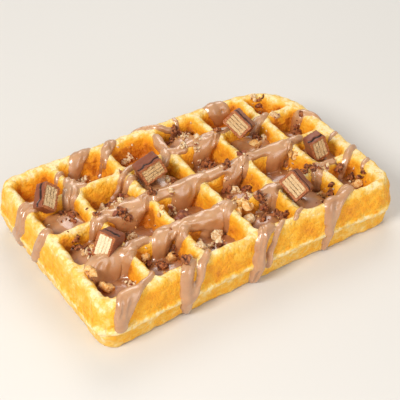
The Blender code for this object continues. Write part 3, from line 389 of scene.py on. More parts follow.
class WaffleSkin:
    """The skin as a function of two chart coordinates (u, v).

    Between the rims u and v are x and y. Past the rim's flat they are the distance run down the
    side. Height is the pocket's wall profile at the distance in from the nearest pocket edge, and
    the side's profile past the rim.
    """

    def __init__(self, look):
        self.look = look
        self.columns = pocket_edges(COLUMNS, PITCH_X, POCKETS_X)
        self.rows = pocket_edges(ROWS, PITCH_Y, POCKETS_Y)
        inset, depth = np.array(WALL).T * MM
        self.wall = eased_table(inset, depth, look.wall_softness)
        offset, height = np.array(SIDE).T * MM
        along = np.concatenate([[0], np.cumsum(np.hypot(np.diff(offset), np.diff(height)))])
        self.side_length = along[-1]
        self.seam = along[list(height).index(0.0)]
        self.offset = eased_table(along, offset, look.side_softness)
        self.height = eased_table(along, height, look.side_softness)
        self.flat_x = (EDGE_X[0] + RIM_IN, EDGE_X[1] - RIM_IN)
        self.flat_y = (EDGE_Y[0] + RIM_IN, EDGE_Y[1] - RIM_IN)

    def pocket_reach(self, x, y):
        """Distance in from the nearest pocket edge along each axis, and with round corners."""
        dx = np.max([np.minimum(x - low, high - x) for low, high in zip(*self.columns)], axis=0)
        dy = np.max([np.minimum(y - low, high - y) for low, high in zip(*self.rows)], axis=0)
        radius = self.look.pocket_corner
        corner = np.hypot(np.maximum(radius - dx, 0), np.maximum(radius - dy, 0))
        return dx, dy, np.where(corner > 0, radius - corner, np.minimum(dx, dy))

    def in_plan(self, x, y):
        """Corners drawn in to arcs, the back edge skewed and the front edge bowed."""
        for side_x, side_y, radius in CORNERS:
            centre_x = EDGE_X[side_x > 0] - side_x * radius
            centre_y = EDGE_Y[side_y > 0] - side_y * radius
            dx, dy = (x - centre_x) * side_x, (y - centre_y) * side_y
            there = (dx > 0) & (dy > 0)
            pull = np.maximum(dx, dy) / np.maximum(np.hypot(dx, dy), 1e-9)
            x = np.where(there, centre_x + side_x * dx * pull, x)
            y = np.where(there, centre_y + side_y * dy * pull, y)
        last = (ROWS / 2 - 1) * PITCH_Y
        back = np.maximum(y - last, 0) / (EDGE_Y[1] - last)
        front = np.maximum(-last - y, 0) / (-last - EDGE_Y[0])
        return x, y - BACK_SKEW * x * back - FRONT_BOW * (x / EDGE_X[1]) ** 2 * front

    def run(self, past, side):
        """Distance from the upper rim along the side, for a chart distance past either skin's rim."""
        if side > 0:
            return past
        return self.side_length - past * (self.side_length - self.seam) / self.seam

    def points(self, u, v, side=1):
        """Places in metres for chart coordinates, on the upper (1) or lower (-1) skin."""
        past_x = np.maximum(np.maximum(self.flat_x[0] - u, u - self.flat_x[1]), 0)
        past_y = np.maximum(np.maximum(self.flat_y[0] - v, v - self.flat_y[1]), 0)
        way_x, way_y = np.where(u > 0, 1, -1), np.where(v > 0, 1, -1)
        past = np.maximum(past_x, past_y)
        rise = np.interp(self.run(past, side), *self.height) * side
        fine = np.stack([u, v], axis=-1)
        room = np.minimum(np.minimum(u - self.flat_x[0], self.flat_x[1] - u),
                          np.minimum(v - self.flat_y[0], self.flat_y[1] - v))
        warp = self.look.unevenness * np.clip(room / RIM_CALM, 0, 1)
        inner = past <= 0
        x = u + warp * ripple(fine, EDGE_WAVES[0], 3)
        y = v + warp * ripple(fine, EDGE_WAVES[1], 4)
        _, _, inset = self.pocket_reach(x, y)
        depth = np.interp(inset, *self.wall)
        height = np.where(inner, HALF - depth, rise)

        def pushed(past_one, edges, coordinate, way):
            """A coordinate, moved past the rim to the edge and the side's offset from it."""
            out = np.interp(self.run(past_one, side), *self.offset)
            edge = np.where(way > 0, edges[1], edges[0])
            return np.where(past_one > 0, edge + way * out, coordinate)

        x = pushed(past_x, EDGE_X, np.clip(x, *self.flat_x), way_x)
        y = pushed(past_y, EDGE_Y, np.clip(y, *self.flat_y), way_y)
        if side > 0:
            swing = np.sin(x / WAVE_X + WAVE_PHASES[0]) * np.cos(y / WAVE_Y + WAVE_PHASES[1])
            height = height - WAVE * (1 + swing) / 2 * np.clip(height / HALF, 0, 1)
        x, y = self.in_plan(x, y)
        places = np.stack([x + GRID_SHIFT[0], y + GRID_SHIFT[1], HALF + side * height], axis=-1)
        wander = np.stack([ripple(places, SKIN_WAVE, seed) for seed in (5, 6, 7)], axis=-1)
        lumps = np.stack([ripple(places, LUMP_WAVE, seed) for seed in (8, 9, 10)], axis=-1)
        return places + self.look.unevenness * (SKIN_SHARE * wander + (1 - SKIN_SHARE) * lumps)

    def lines(self, pockets, flat, down, fine):
        """Chart lines along one direction: close on the walls and ribs, wider on the floors."""
        wall = np.array(WALL_LINES) * MM
        begin, end = wall[[0, -1]]
        stations = range(len(wall))
        wall = np.interp(np.linspace(0, len(wall) - 1, round(len(wall) * fine)), stations, wall)
        on_rib = max(2, round(RIB_LINES * fine))
        stops = [np.linspace(flat[0], pockets[0][0] + begin, on_rib, endpoint=False)]
        for k, (low, high) in enumerate(zip(*pockets)):
            floor = np.linspace(low + end, high - end, round(FLOOR_LINES * fine) + 1)[1:-1]
            after = pockets[0][k + 1] + begin if k + 1 < len(pockets[0]) else flat[1]
            rib = np.linspace(high - begin, after, on_rib, endpoint=False)[1:]
            stops += [low + wall, floor, high - wall[::-1], rib]
        beyond = np.linspace(0, down, max(4, round(down / SIDE_STEP * fine)) + 1)[1:]
        return np.concatenate([flat[0] - beyond[::-1], *stops, [flat[1]], flat[1] + beyond])

    def chart(self, down, fine):
        """The grid of chart coordinates, as far down the side as given."""
        u = self.lines(self.columns, self.flat_x, down, fine)
        v = self.lines(self.rows, self.flat_y, down, fine)
        return np.meshgrid(np.unique(u), np.unique(v), indexing="ij")

    def past_rim(self, u, v):
        """How far a place lies past the rim's flat, below zero inside it."""
        gaps = (self.flat_x[0] - u, u - self.flat_x[1], self.flat_y[0] - v, v - self.flat_y[1])
        return np.maximum.reduce(gaps)

    def browning(self, u, v, places, side):
        """How brown the crust is, 0 pale to 1 brown: by depth in a pocket or by place on the side, with
        painted shade in the pockets and painted light on the left side.
        """
        past = self.past_rim(u, v)
        dx, dy, inset = self.pocket_reach(u, v)
        depth = np.interp(inset, *self.wall) / MM
        # partly painted shade: brownness rises with depth in the pocket
        brown = np.interp(depth, *BROWN_AND_SHADE_BY_DEPTH)
        # painted shade in the pocket's corners
        corner = np.clip(1 - dx / CORNER_NEAR, 0, 1) * np.clip(1 - dy / CORNER_NEAR, 0, 1)
        brown += CORNER_SHADE * corner * np.clip(depth / 5, 0, 1)
        run = self.run(np.clip(past, 0, self.side_length), side) / MM
        seam = self.seam / MM
        at_seam = [seam + stop for stop in BROWN_SEAM[0]]
        on_side = np.interp(run, (*BROWN_RIM[0], *at_seam, *BROWN_BASE[0]),
                            (*BROWN_RIM[1], *BROWN_SEAM[1], *BROWN_BASE[1]))
        pits = np.clip(ripple(places, 2.2 * MM, 13) * 2.4 - 0.9, 0, 1)
        on_side = on_side + PIT_BROWN * (pits * np.exp(-((run - seam) / PIT_SPREAD) ** 2))
        # painted light: the left side is made paler
        on_side = on_side * np.where(u < self.flat_x[0], LEFT_SIDE_PAINTED_LIGHT, 1.0)
        brown = np.where(past > 0, on_side, brown)
        patches = 0.20 * ripple(places, 19 * MM, 11) + 0.14 * ripple(places, 6.5 * MM, 12)
        return np.clip(brown + patches * (0.05 + 1.1 * brown), 0, 1)


def grid_quads(rows, columns):
    """Quads of a grid whose points run along columns first."""
    corner = (np.arange(rows - 1)[:, None] * columns + np.arange(columns - 1)).ravel()
    return np.stack([corner, corner + columns, corner + columns + 1, corner + 1], axis=1)


def grid_normals(places):
    """Unit normals of a grid of places, from the cross product of its two directions."""
    return unit(np.cross(np.gradient(places, axis=0), np.gradient(places, axis=1)))


def averaged(field, times):
    """Each value replaced by the mean of its four neighbours and twice itself, some times over."""
    for _ in range(times):
        wide = np.pad(field, ((1, 1), (1, 1), (0, 0)), mode="edge")
        field = (wide[:-2, 1:-1] + wide[2:, 1:-1] + wide[1:-1, :-2] + wide[1:-1, 2:] + 2 * field) / 6
    return field


def linked(name, data):
    """A new object at the origin, in the scene."""
    made = bpy.data.objects.new(name, data)
    bpy.context.scene.collection.objects.link(made)
    return made


def new_piece(name, places, faces, finish, slot, replaces=(), smooth=True, **fields):
    """Puts arrays of places and faces into a mesh at the origin and ties it to the frame."""
    mesh = bpy.data.meshes.new(name)
    places = np.clip(places, cad_bounds[0], cad_bounds[1])
    corners = np.concatenate([block.ravel() for block in faces])
    sizes = np.concatenate([np.full(len(block), block.shape[1]) for block in faces])
    mesh.vertices.add(len(places))
    mesh.vertices.foreach_set("co", np.asarray(places, np.float32).ravel())
    mesh.loops.add(len(corners))
    mesh.loops.foreach_set("vertex_index", corners.astype(np.int32))
    mesh.polygons.add(len(sizes))
    mesh.polygons.foreach_set("loop_start", (np.cumsum(sizes) - sizes).astype(np.int32))
    mesh.polygons.foreach_set("use_smooth", np.full(len(sizes), smooth))
    mesh.update(calc_edges=True)
    mesh.validate()
    for field, values in fields.items():
        layer = mesh.attributes.new(field, "FLOAT", "POINT")
        layer.data.foreach_set("value", np.asarray(values, np.float32).ravel())
    mesh.materials.append(finish)
    piece = linked(name, mesh)
    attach(piece, "root")
    if replaces:
        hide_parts(*replaces)
    return piece


class Value:
    """A number socket of a material, on which arithmetic adds Math nodes."""

    def __init__(self, finish, socket):
        self.finish, self.socket = finish, socket

    def math(self, operation, *others):
        """The result of a Math node on this value and others."""
        node = self.finish.add("ShaderNodeMath", {"operation": operation})
        for slot, value in zip(node.inputs, (self, *others)):
            self.finish.feed(slot, value)
        return Value(self.finish, node.outputs[0])

    def __add__(self, other):
        return self.math("ADD", other)

    def __mul__(self, other):
        return self.math("MULTIPLY", other)

    def __sub__(self, other):
        return self.math("SUBTRACT", other)

    def __rsub__(self, other):
        return (self * -1.0).math("ADD", other)

    __radd__, __rmul__ = __add__, __mul__

    def clipped(self):
        """This value kept between 0 and 1."""
        return self.math("MAXIMUM", 0.0).math("MINIMUM", 1.0)


class Finish:
    """A material with a Principled shader, and the nodes that feed it."""

    def __init__(self, name, **constants):
        self.material = bpy.data.materials.new(name)
        self.material.use_nodes = True
        self.nodes = self.material.node_tree.nodes
        self.shader = self.nodes["Principled BSDF"]
        for socket, value in constants.items():
            self.shader.inputs[socket.replace("_", " ")].default_value = value

    def add(self, kind, settings=None, **sockets):
        """A node of a kind: its settings first, then the values or links of its sockets."""
        node = self.nodes.new(kind)
        for setting, value in (settings or {}).items():
            if setting == "stops":
                ramp = node.color_ramp.elements
                while len(ramp) < len(value):
                    ramp.new(0.5)
                for stop, (place, colour) in zip(ramp, value):
                    stop.position = place
                    stop.color = (*colour, 1.0)
            else:
                setattr(node, setting, value)
        for socket, value in sockets.items():
            self.feed(node.inputs[socket.replace("_", " ")], value)
        return node

    def feed(self, socket, value):
        """Links a value or a socket to a socket, or sets a constant on it."""
        if isinstance(value, Value):
            value = value.socket
        if isinstance(value, bpy.types.NodeSocket):
            self.material.node_tree.links.new(value, socket)
        else:
            socket.default_value = value

    def field(self, name):
        """A number stored on the mesh's points."""
        return Value(self, self.add("ShaderNodeAttribute", {"attribute_name": name}).outputs["Fac"])

    def noise(self, size, detail=3.0, rough=0.5, stretch=(1, 1, 1)):
        """Noise from 0 to 1 with features of about the given size in metres, on Object coordinates."""
        place = self.add("ShaderNodeTexCoord").outputs["Object"]
        scaled = self.add("ShaderNodeMapping", {"vector_type": "POINT"}, Vector=place,
                          Scale=tuple(s / size for s in stretch))
        made = self.add("ShaderNodeTexNoise", Vector=scaled.outputs[0], Scale=1.0, Detail=detail,
                        Roughness=rough)
        return Value(self, made.outputs["Fac"])

    def ramp(self, value, *stops):
        """The colour at a value between stops of (place, colour)."""
        return self.add("ShaderNodeValToRGB", {"stops": stops}, Fac=value).outputs["Color"]

    def mix(self, share, first, second):
        """A colour between two, each a socket or three numbers."""
        node = self.add("ShaderNodeMix", {"data_type": "RGBA"})
        self.feed(node.inputs[0], share)
        for socket, colour in ((node.inputs[6], first), (node.inputs[7], second)):
            self.feed(socket, colour if isinstance(colour, bpy.types.NodeSocket) else (*colour, 1.0))
        return node.outputs[2]

    def bump(self, height, distance, strength=1.0):
        """Turns the shader's normal by a height, at a distance in metres for a height of 1."""
        node = self.add("ShaderNodeBump", Height=height, Distance=distance, Strength=strength)
        self.feed(self.shader.inputs["Normal"], node.outputs["Normal"])

    def set(self, **sockets):
        """Feeds sockets of the shader and gives the finished material."""
        for socket, value in sockets.items():
            self.feed(self.shader.inputs[socket.replace("_", " ")], value)
        return self.material


def crust_finish(look):
    """Baked batter: pale cream where thin and dry, through gold and orange to brown, which carries painted
    shade deep in the pockets, finely pitted.
    """
    finish = Finish("baked crust", Roughness=0.52, Subsurface_Weight=0.06, Subsurface_Scale=0.003,
                    Subsurface_Radius=(1.0, 0.45, 0.12), Specular_IOR_Level=0.32)
    blotch = finish.noise(6 * MM, detail=5.0, rough=0.65)
    speck = finish.noise(1.5 * MM, detail=2.0)
    patch = finish.noise(3 * MM, detail=3.0)
    brown = finish.field("brown") * (blotch * 0.7 + 0.65)
    brown = brown + (blotch - 0.5) * 0.42 + (patch - 0.5) * 0.30 + (speck - 0.5) * 0.12 + 0.045
    colour = finish.ramp(
        brown.clipped(),
        (0.0, look.cream), (0.09, look.pale), (0.25, look.straw), (0.44, look.gold),
        (0.66, look.amber), (0.88, look.brown),
    )
    pores = finish.noise(0.55 * MM, detail=2.0)
    finish.bump(blotch * 1.5 + patch * 1.0 + speck * 0.5 + pores * 0.15, 0.8 * MM, 0.8)
    return finish.set(Base_Color=colour)


def sauce_finish(look):
    """Thick milk chocolate sauce: smooth, glossy, faintly streaked, with painted shade darkening it down in
    the pockets.
    """
    finish = Finish("chocolate sauce", Roughness=0.34, Subsurface_Weight=0.12, Subsurface_Scale=0.002,
                    Subsurface_Radius=(1.0, 0.5, 0.25), Specular_IOR_Level=1.0, Coat_Weight=0.8,
                    Coat_Roughness=0.16)
    streak = finish.noise(7 * MM, detail=4.0, rough=0.55)
    fine = finish.noise(2.2 * MM, detail=2.0)
    # painted shade: the shaded tone grows with depth below the rib tops, mixed with random streaks
    dark = (finish.field("deep") * 0.85 + (streak - 0.5) * 1.2 + 0.16).clipped()
    colour = finish.mix(dark, look.sauce_light, look.sauce_shaded)
    finish.bump(streak * 1.0 + fine * 0.35, 0.6 * MM, 0.5)
    return finish.set(Base_Color=colour)


def chocolate_finish(look):
    """Set milk chocolate: mauve-brown and satin, paler where scuffed, with painted shade darkening its
    cracks.
    """
    finish = Finish("set chocolate", Roughness=0.38, Specular_IOR_Level=0.35)
    scuff = finish.noise(1.5 * MM, detail=5.0, rough=0.65)
    cloud = finish.noise(6 * MM, detail=2.0)
    base = finish.mix(cloud, look.chocolate_dark, look.chocolate)
    rubbed = (finish.field("scuffed") * (scuff * 2.4 - 0.35)).clipped()
    worn = finish.mix(rubbed, base, look.chocolate_worn)
    # painted shade: cracks turn near black
    colour = finish.mix((finish.field("crack") * 1.3).clipped(), worn, look.crack)
    finish.bump(scuff, 0.25 * MM, 0.4)
    return finish.set(Base_Color=colour)


def wafer_finish(look):
    """Crisp wafer: pale tan sheets with cream between them, broken dark gaps along it and fine pores."""
    finish = Finish("crisp wafer", Roughness=0.8)
    grain = finish.noise(0.8 * MM, detail=3.0)
    base = finish.mix((grain * 2.0 - 0.5).clipped(), look.wafer, look.wafer_light)
    pale = finish.mix(finish.field("pale"), base, look.wafer_pale)
    sheet = finish.field("sheet") + (finish.noise(2.5 * MM) - 0.5) * 0.16
    away = (sheet - sheet.math("ROUND")).math("ABSOLUTE")
    cream = (1.0 - away * 4.5).clipped() * (1.0 - finish.field("pale") * 0.7)
    filled = finish.mix(cream * 0.40, pale, look.wafer_cream)
    broken = (finish.noise(2.0 * MM, detail=2.0) * 7.0 - 2.8).clipped()
    gaps = (1.3 - away * 10.0).clipped() * broken
    pores = (finish.noise(0.7 * MM, detail=1.0) * 9.0 - 5.5).clipped()
    marks = gaps.math("MAXIMUM", pores * 0.8) * finish.field("open")
    colour = finish.mix(marks.clipped(), filled, look.wafer_gap)
    finish.bump(finish.noise(0.4 * MM, detail=2.0), 0.2 * MM, 0.6)
    return finish.set(Base_Color=colour)


def crumb_finish(name, dark, light, coat, rough):
    """Broken crumbs of two tones, with what coats them on one side."""
    finish = Finish(name, Roughness=rough, Specular_IOR_Level=0.3)
    tone = finish.noise(1.5 * MM, detail=3.0)
    finish.bump(finish.noise(0.8 * MM, detail=3.0), 0.5 * MM, 0.9)
    inside = finish.mix((tone * 4.0 - 1.5).clipped(), dark, light)
    return finish.set(Base_Color=finish.mix(finish.field("coated"), inside, coat))


def bake_waffle(look, skin):
    """Both skins on one chart, joined point by point along the seam."""
    u, v = skin.chart(skin.seam, look.fineness)
    rows, columns = u.shape
    upper, lower = skin.points(u, v, 1), skin.points(u, v, -1)
    shared = np.zeros(u.shape, bool)
    shared[[0, -1]] = shared[:, [0, -1]] = True
    index = np.arange(u.size).reshape(u.shape)
    below = np.where(shared, index, np.cumsum(~shared).reshape(u.shape) - 1 + u.size)
    quads = grid_quads(rows, columns)
    places = np.concatenate([upper.reshape(-1, 3), lower[~shared]])
    brown = np.concatenate([skin.browning(u, v, upper, 1).ravel(),
                            skin.browning(u, v, lower, -1)[~shared]])
    faces = [quads, below.ravel()[quads][:, ::-1]]
    return new_piece("baked_waffle", places, faces, crust_finish(bpy.context.scene.waffle_colours),
                     "baked_waffle", ["waffle"], brown=brown)


def smooth_route(route, step):
    """Even steps along a Catmull-Rom curve through a route's places, widths and thicknesses."""
    p = np.array(route, float) * MM
    p = np.vstack([2 * p[0] - p[1], p, 2 * p[-1] - p[-2]])
    p[[0, -1], 2:] = p[[1, -2], 2:]
    t = np.linspace(0, 1, 16, endpoint=False)[:, None]
    a, b, c, d = (p[k:len(p) - 3 + k, None] for k in range(4))
    runs = ((-t**3 + 2 * t**2 - t) * a + (3 * t**3 - 5 * t**2 + 2) * b
            + (-3 * t**3 + 4 * t**2 + t) * c + (t**3 - t**2) * d) / 2
    fine = np.vstack([runs.reshape(-1, p.shape[1]), p[-2]])
    steps = np.linalg.norm(np.diff(fine[:, :2], axis=0), axis=1)
    along = np.concatenate([[0], np.cumsum(steps)])
    stops = np.linspace(0, along[-1], max(4, round(along[-1] / step)))
    return np.stack([np.interp(stops, along, column) for column in fine.T], axis=1)


def strand_thickness(places, skin):
    """Thickness of the sauce at each place, below zero past its edge.

    Round every station of a strand lies a half ball squashed to the strand's thickness: its height
    is thickness * sqrt(1 - (distance / half width) squared). The strand is the highest of them. Its
    height is at most EDGE_SLOPE times the distance in from the edge, and past the edge that same
    line goes on below zero, so the outline is straight between grid lines. Wide strands carry
    folds: a cosine of the share of the half width, which fades in and out along the strand.
    """
    flat = places.reshape(-1, 3)
    thick = np.zeros(len(flat))
    past = np.full(len(flat), 1.0)
    for route in STRANDS:
        stations = smooth_route(route, STRAND_STEP)
        u, v, half_width, height = stations.T
        half_width = half_width * (1 + WIDTH_WOBBLE * ripple(stations[:, :2], WIDTH_WAVE, 21))
        folds = FOLD_DEPTH * np.clip(half_width / FOLD_WIDTH - 0.7, 0, 1)
        folds = folds * np.clip(0.6 + ripple(stations[:, :2], FOLD_WAVE, 23), 0, 1.3)
        line = skin.points(u, v, 1)
        reach = half_width.max() + 2 * MM
        near = np.all((flat > line.min(axis=0) - reach) & (flat < line.max(axis=0) + reach), axis=1)
        away = np.linalg.norm(flat[near][:, None] - line, axis=2)
        share = away / half_width
        nearest = share.argmin(axis=1)
        share = np.clip(share.min(axis=1), 0, 1)
        dome = height[nearest] * np.sqrt(1 - share**2)
        dome = dome * (1 + folds[nearest] * np.cos(FOLDS * math.pi * share))
        thick[near] = np.maximum(thick[near], dome)
        past[near] = np.minimum(past[near], (away - half_width).min(axis=1))
    thick = np.where(past < 0, np.minimum(thick, -EDGE_SLOPE * past), -EDGE_SLOPE * past)
    return thick.reshape(places.shape[:-1])


def pool_level(places):
    """Height of the sauce that lies in the pockets: a flat dome over each pool's ellipse."""
    level = np.full(places.shape[:-1], -1.0)
    wobble = 1 + POOL_WOBBLE * ripple(places[..., :2], 9 * MM, 31)
    waves = POOL_WAVES * ripple(places[..., :2], 6 * MM, 32)
    for x, y, half_x, half_y, top, dome in POOLS:
        centre = np.array((x, y)) * MM + GRID_SHIFT
        half = np.array((half_x, half_y)) * MM
        away = np.sum(((places[..., :2] - centre) / half) ** 2, axis=-1) * wobble
        height = THICKNESS + (top - dome * away) * MM + waves
        level = np.maximum(level, np.where(away < 1, height, -1.0))
    return level


def bridged(wet, times=8):
    """Joins sauce that meets across one dry line or at one corner, so no edge is shared by four faces."""
    wet = wet.copy()
    wet[[0, -1]] = wet[:, [0, -1]] = False
    for _ in range(times):
        wet[1:-1] |= wet[:-2] & wet[2:]
        wet[:, 1:-1] |= wet[:, :-2] & wet[:, 2:]
        for flip in (1, -1):
            seen = wet[:, ::flip]
            lone = (seen[:-1, :-1] & seen[1:, 1:]) & ~(seen[1:, :-1] | seen[:-1, 1:])
            seen[1:, :-1] |= lone
            seen[:-1, 1:] |= lone
    return wet


def sauce_surface(look, skin, base, normal):
    """The sauce's upper surface, and where there is sauce."""
    thick = np.maximum(strand_thickness(base, skin), -STOP_SHARE * look.sauce_sink)
    calm = averaged(base, look.drape)
    share = np.clip(thick / DRAPED_AT, 0, 1)[..., None]
    share = share * share * (3 - 2 * share)
    lean = unit(normal * (1 - share) + grid_normals(calm) * share)
    top = base + (calm - base) * share + lean * thick[..., None]
    short = np.clip(LEAST_STAND * thick - np.sum((top - base) * normal, axis=-1), 0, None)
    top = top + normal * short[..., None]
    rise = np.clip(pool_level(base) - top[..., 2], 0, None)
    top[..., 2] += rise
    pooled = (rise > 0)[..., None]
    top = np.where((thick > AVERAGED_FROM)[..., None] | pooled, averaged(top, look.smoothing), top)
    top = np.where(pooled, averaged(top, 2 * look.smoothing), top)
    return top, bridged((thick > -END_SHARE * look.sauce_sink) | (rise > 0))


def pour_sauce(look, skin):
    """The sauce is the waffle's skin moved outwards along its normal by the sauce's thickness.

    Under thick sauce the skin is first averaged, so that the sauce rounds the ribs and fills the
    corners. Where there is none, it runs just under the crust, and the same sunk skin closes it below.
    """
    u, v = skin.chart(skin.side_length, look.sauce_fineness)
    base = skin.points(u, v, 1)
    normal = grid_normals(base)
    top, wet = sauce_surface(look, skin, base, normal)
    sunk = base - normal * look.sauce_sink
    top = np.where(wet[..., None], top, sunk)
    quads = grid_quads(*u.shape)
    soaked = wet.ravel()[quads]
    count = soaked.sum(axis=1)
    around = (soaked[count == 1].argmax(axis=1)[:, None] + (-1, 0, 1)) % 4
    shells = [quads[count > 1], np.take_along_axis(quads[count == 1], around, axis=1)]
    index = np.arange(u.size).reshape(u.shape)
    below = np.where(wet, np.cumsum(wet).reshape(u.shape) - 1 + u.size, index).ravel()
    places = np.concatenate([top.reshape(-1, 3), sunk[wet]])
    shells += [below[shell][:, ::-1] for shell in shells]
    used = np.unique(np.concatenate([shell.ravel() for shell in shells]))
    # painted shade: share of the shaded sauce tone by depth below the rib tops, fixed on the side
    depth = np.clip((THICKNESS - top[..., 2]) / SHADE_DEPTH, 0, 1)
    deep = np.where(skin.past_rim(u, v) > 0, SIDE_SHADE, depth)
    deep = np.concatenate([deep.ravel(), deep[wet]])
    return new_piece("poured_sauce", places[used], [np.searchsorted(used, shell) for shell in shells],
                     sauce_finish(bpy.context.scene.waffle_colours), "chocolate_sauce", deep=deep[used])


def round_box(half_y, half_z, radius, samples):
    """A rectangle with round corners at even steps: the outline of a square pushed to its rounding."""
    angle = np.linspace(0, math.tau, 4 * samples, endpoint=False) + math.pi / 4
    y, z = np.cos(angle), np.sin(angle)
    scale = 1 / np.maximum(np.abs(y), np.abs(z))
    y, z = y * scale * half_y, z * scale * half_z
    inner_y = np.clip(y, radius - half_y, half_y - radius)
    inner_z = np.clip(z, radius - half_z, half_z - radius)
    out = unit(np.stack([y - inner_y, z - inner_z], axis=-1))
    return np.stack([inner_y, inner_z], axis=-1) + out * radius


def sleeve_quads(stations, around):
    """Quads of a surface closed round its outline and along its stations."""
    row, column = np.divmod(np.arange(stations * around), around)
    after_row, after_column = (row + 1) % stations, (column + 1) % around
    return np.stack([row * around + column, row * around + after_column,
                     after_row * around + after_column, after_row * around + column], axis=1)


def capped_faces(rings, around):
    """Quads between rings and fans of triangles to a pole at each end, poles after the rings."""
    row, column = np.divmod(np.arange((rings - 1) * around), around)
    after = (column + 1) % around
    quads = np.stack([row * around + column, row * around + after,
                      (row + 1) * around + after, (row + 1) * around + column], axis=1)
    ring = np.arange(around)
    turn = (ring + 1) % around
    last = (rings - 1) * around
    low = np.stack([turn, ring, np.full(around, rings * around)], axis=1)
    high = np.stack([last + ring, last + turn, np.full(around, rings * around + 1)], axis=1)
    return quads, np.concatenate([low, high])


def bar_matrix(name, turns):
    """The place of a bar piece: the middle of its coat's box in the frame, and its turns."""
    low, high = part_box(f"coat_{name}")
    spin = Euler([math.radians(turn) for turn in turns], "XYZ").to_matrix()
    return np.array(spin), np.array((low + high) / 2)


def in_rings(along, outlines):
    """Outlines of (y, z) set at distances along the bar, as one grid of places."""
    x = np.broadcast_to(along[:, None, None], (*outlines.shape[:2], 1))
    return np.concatenate([x, outlines], axis=-1)


def coat_piece(name, turns, length, crack, seed, look, finish):
    """A chocolate coat: outline carried along the bar, back inside, and over both broken ends.

    Each place is a share between the outer and the inner outline at a distance along the bar. A
    crack is a groove of Gaussian section across the top, and the broken ends are roughened.
    """
    half = length * MM / 2
    outer = round_box(BAR_WIDTH / 2, BAR_THICK / 2, BAR_ROUND, look.bar_fineness)
    inner = round_box(BAR_WIDTH / 2 - COAT, BAR_THICK / 2 - COAT, COAT_INSIDE_ROUND, look.bar_fineness)
    out = np.linspace(-half, half, max(12, round(2 * half / COAT_STEP)))
    back = out[::-4]
    along = np.concatenate([out, [half] * len(END_SHARES), back, [-half] * len(END_SHARES)])
    share = np.concatenate([np.zeros(len(out)), END_SHARES, np.ones(len(back)), END_SHARES[::-1]])
    across = outer + (inner - outer) * share[:, None, None]
    places = in_rings(along, across)
    away = unit(in_rings(np.zeros(len(along)), np.broadcast_to(outer, across.shape)))
    end = np.clip(1 - (half - np.abs(places[..., 0])) / WORN_END, 0, 1)
    rough = ripple(places, 1.1 * MM, seed) * 0.28 * MM + ripple(places, 3.0 * MM, seed + 1) * 0.22 * MM
    soft = ripple(places, 4.5 * MM, seed + 2) * 0.16 * MM
    on_outside = (1 - share)[:, None]
    places = places + away * (soft * on_outside - np.abs(rough) * end * on_outside * 0.9)[..., None]
    places[..., 0] -= np.sign(places[..., 0]) * end * (np.abs(rough) * 1.4 + 0.05 * MM)
    cracked = across[..., 1] > BAR_THICK / 2 - 0.5 * MM
    if name in CRACKED_SIDE:
        cracked = across[..., 0] < 0.5 * MM - BAR_WIDTH / 2
    line = half - crack * MM + ripple(places[..., 1:], 6 * MM, seed + 3) * 0.7 * MM
    past = places[..., 0] - line
    groove = np.exp(-(past / CRACK_WIDTH) ** 2) * (share[:, None] == 0) * cracked
    step_down = np.clip(past / (0.4 * MM), 0, 1) * (share[:, None] == 0) * cracked
    places = places - away * (groove * CRACK_DEPTH + step_down * CRACK_STEP)[..., None]
    spin, centre = bar_matrix(name, turns)
    scuffed = np.clip(end + np.clip(share * 4, 0, 1)[:, None] * 0.9 + 0.15, 0, 1)
    # the crack field marks the groove for the painted shade in the crack
    return new_piece(f"bar_coat_{name}", (places @ spin.T + centre).reshape(-1, 3),
                     [sleeve_quads(len(along), len(outer))], finish, "milk_chocolate",
                     [f"coat_{name}"], scuffed=scuffed, crack=groove ** 0.6)


def wafer_piece(name, turns, length, pale, seed, look, finish):
    """Sheets of wafer with cream between: rings from the middle of one end, over the side, to the other.

    The ends sink along the bar where the cream lies and at seeded pores.
    """
    half = length * MM / 2 - WAFER_SHORT
    half_y, half_z = BAR_WIDTH / 2 - COAT + WAFER_INTO, BAR_THICK / 2 - COAT + WAFER_INTO
    outline = round_box(half_y, half_z, WAFER_ROUND, look.bar_fineness)
    spread = np.linspace(0.03, 1, look.end_rings)
    side = np.linspace(-half, half, 8)[1:-1]
    share = np.concatenate([spread, np.ones(len(side)), spread[::-1]])
    along = np.concatenate([np.full(len(spread), -half), side, np.full(len(spread), half)])
    places = in_rings(along, outline * share[:, None, None])
    on_end = np.abs(places[..., 0]) > half * 0.999
    sheet = 2 * half_z / look.layers
    layer = (places[..., 2] + half_z) / sheet
    away = np.abs(layer - np.clip(np.round(layer), 1, look.layers - 1)) * sheet
    broken = np.clip(ripple(places * (1, 1, 0.15), 3.2 * MM, seed + 1) * 1.6 + 0.9, 0, 1)
    gaps = np.exp(-(away / (0.17 * MM)) ** 2) * broken
    pores = np.clip(ripple(places, 1.1 * MM, seed) * 3.0 - 1.6, 0, 1)
    chips = np.clip(ripple(places, 4.0 * MM, seed + 2), 0, 1)
    grain = np.abs(ripple(places, 0.8 * MM, seed + 3))
    sink = (pores * 0.4 + gaps * 0.5 + chips * 0.3 + 0.1 * grain) * MM
    places[..., 0] -= np.sign(places[..., 0]) * sink * on_end
    spin, centre = bar_matrix(name, turns)
    flat = np.concatenate([places.reshape(-1, 3), [[-half, 0, 0], [half, 0, 0]]])
    open_end = 1 - 0.75 * pale
    at_poles = ((layer, look.layers / 2), (on_end * open_end, open_end))
    fields = [np.concatenate([values.ravel(), [value, value]]) for values, value in at_poles]
    return new_piece(f"bar_wafer_{name}", flat @ spin.T + centre, capped_faces(len(share), len(outline)),
                     finish, "crisp_wafer", [f"wafer_{name}"], sheet=fields[0], open=fields[1],
                     pale=np.full(len(flat), pale))


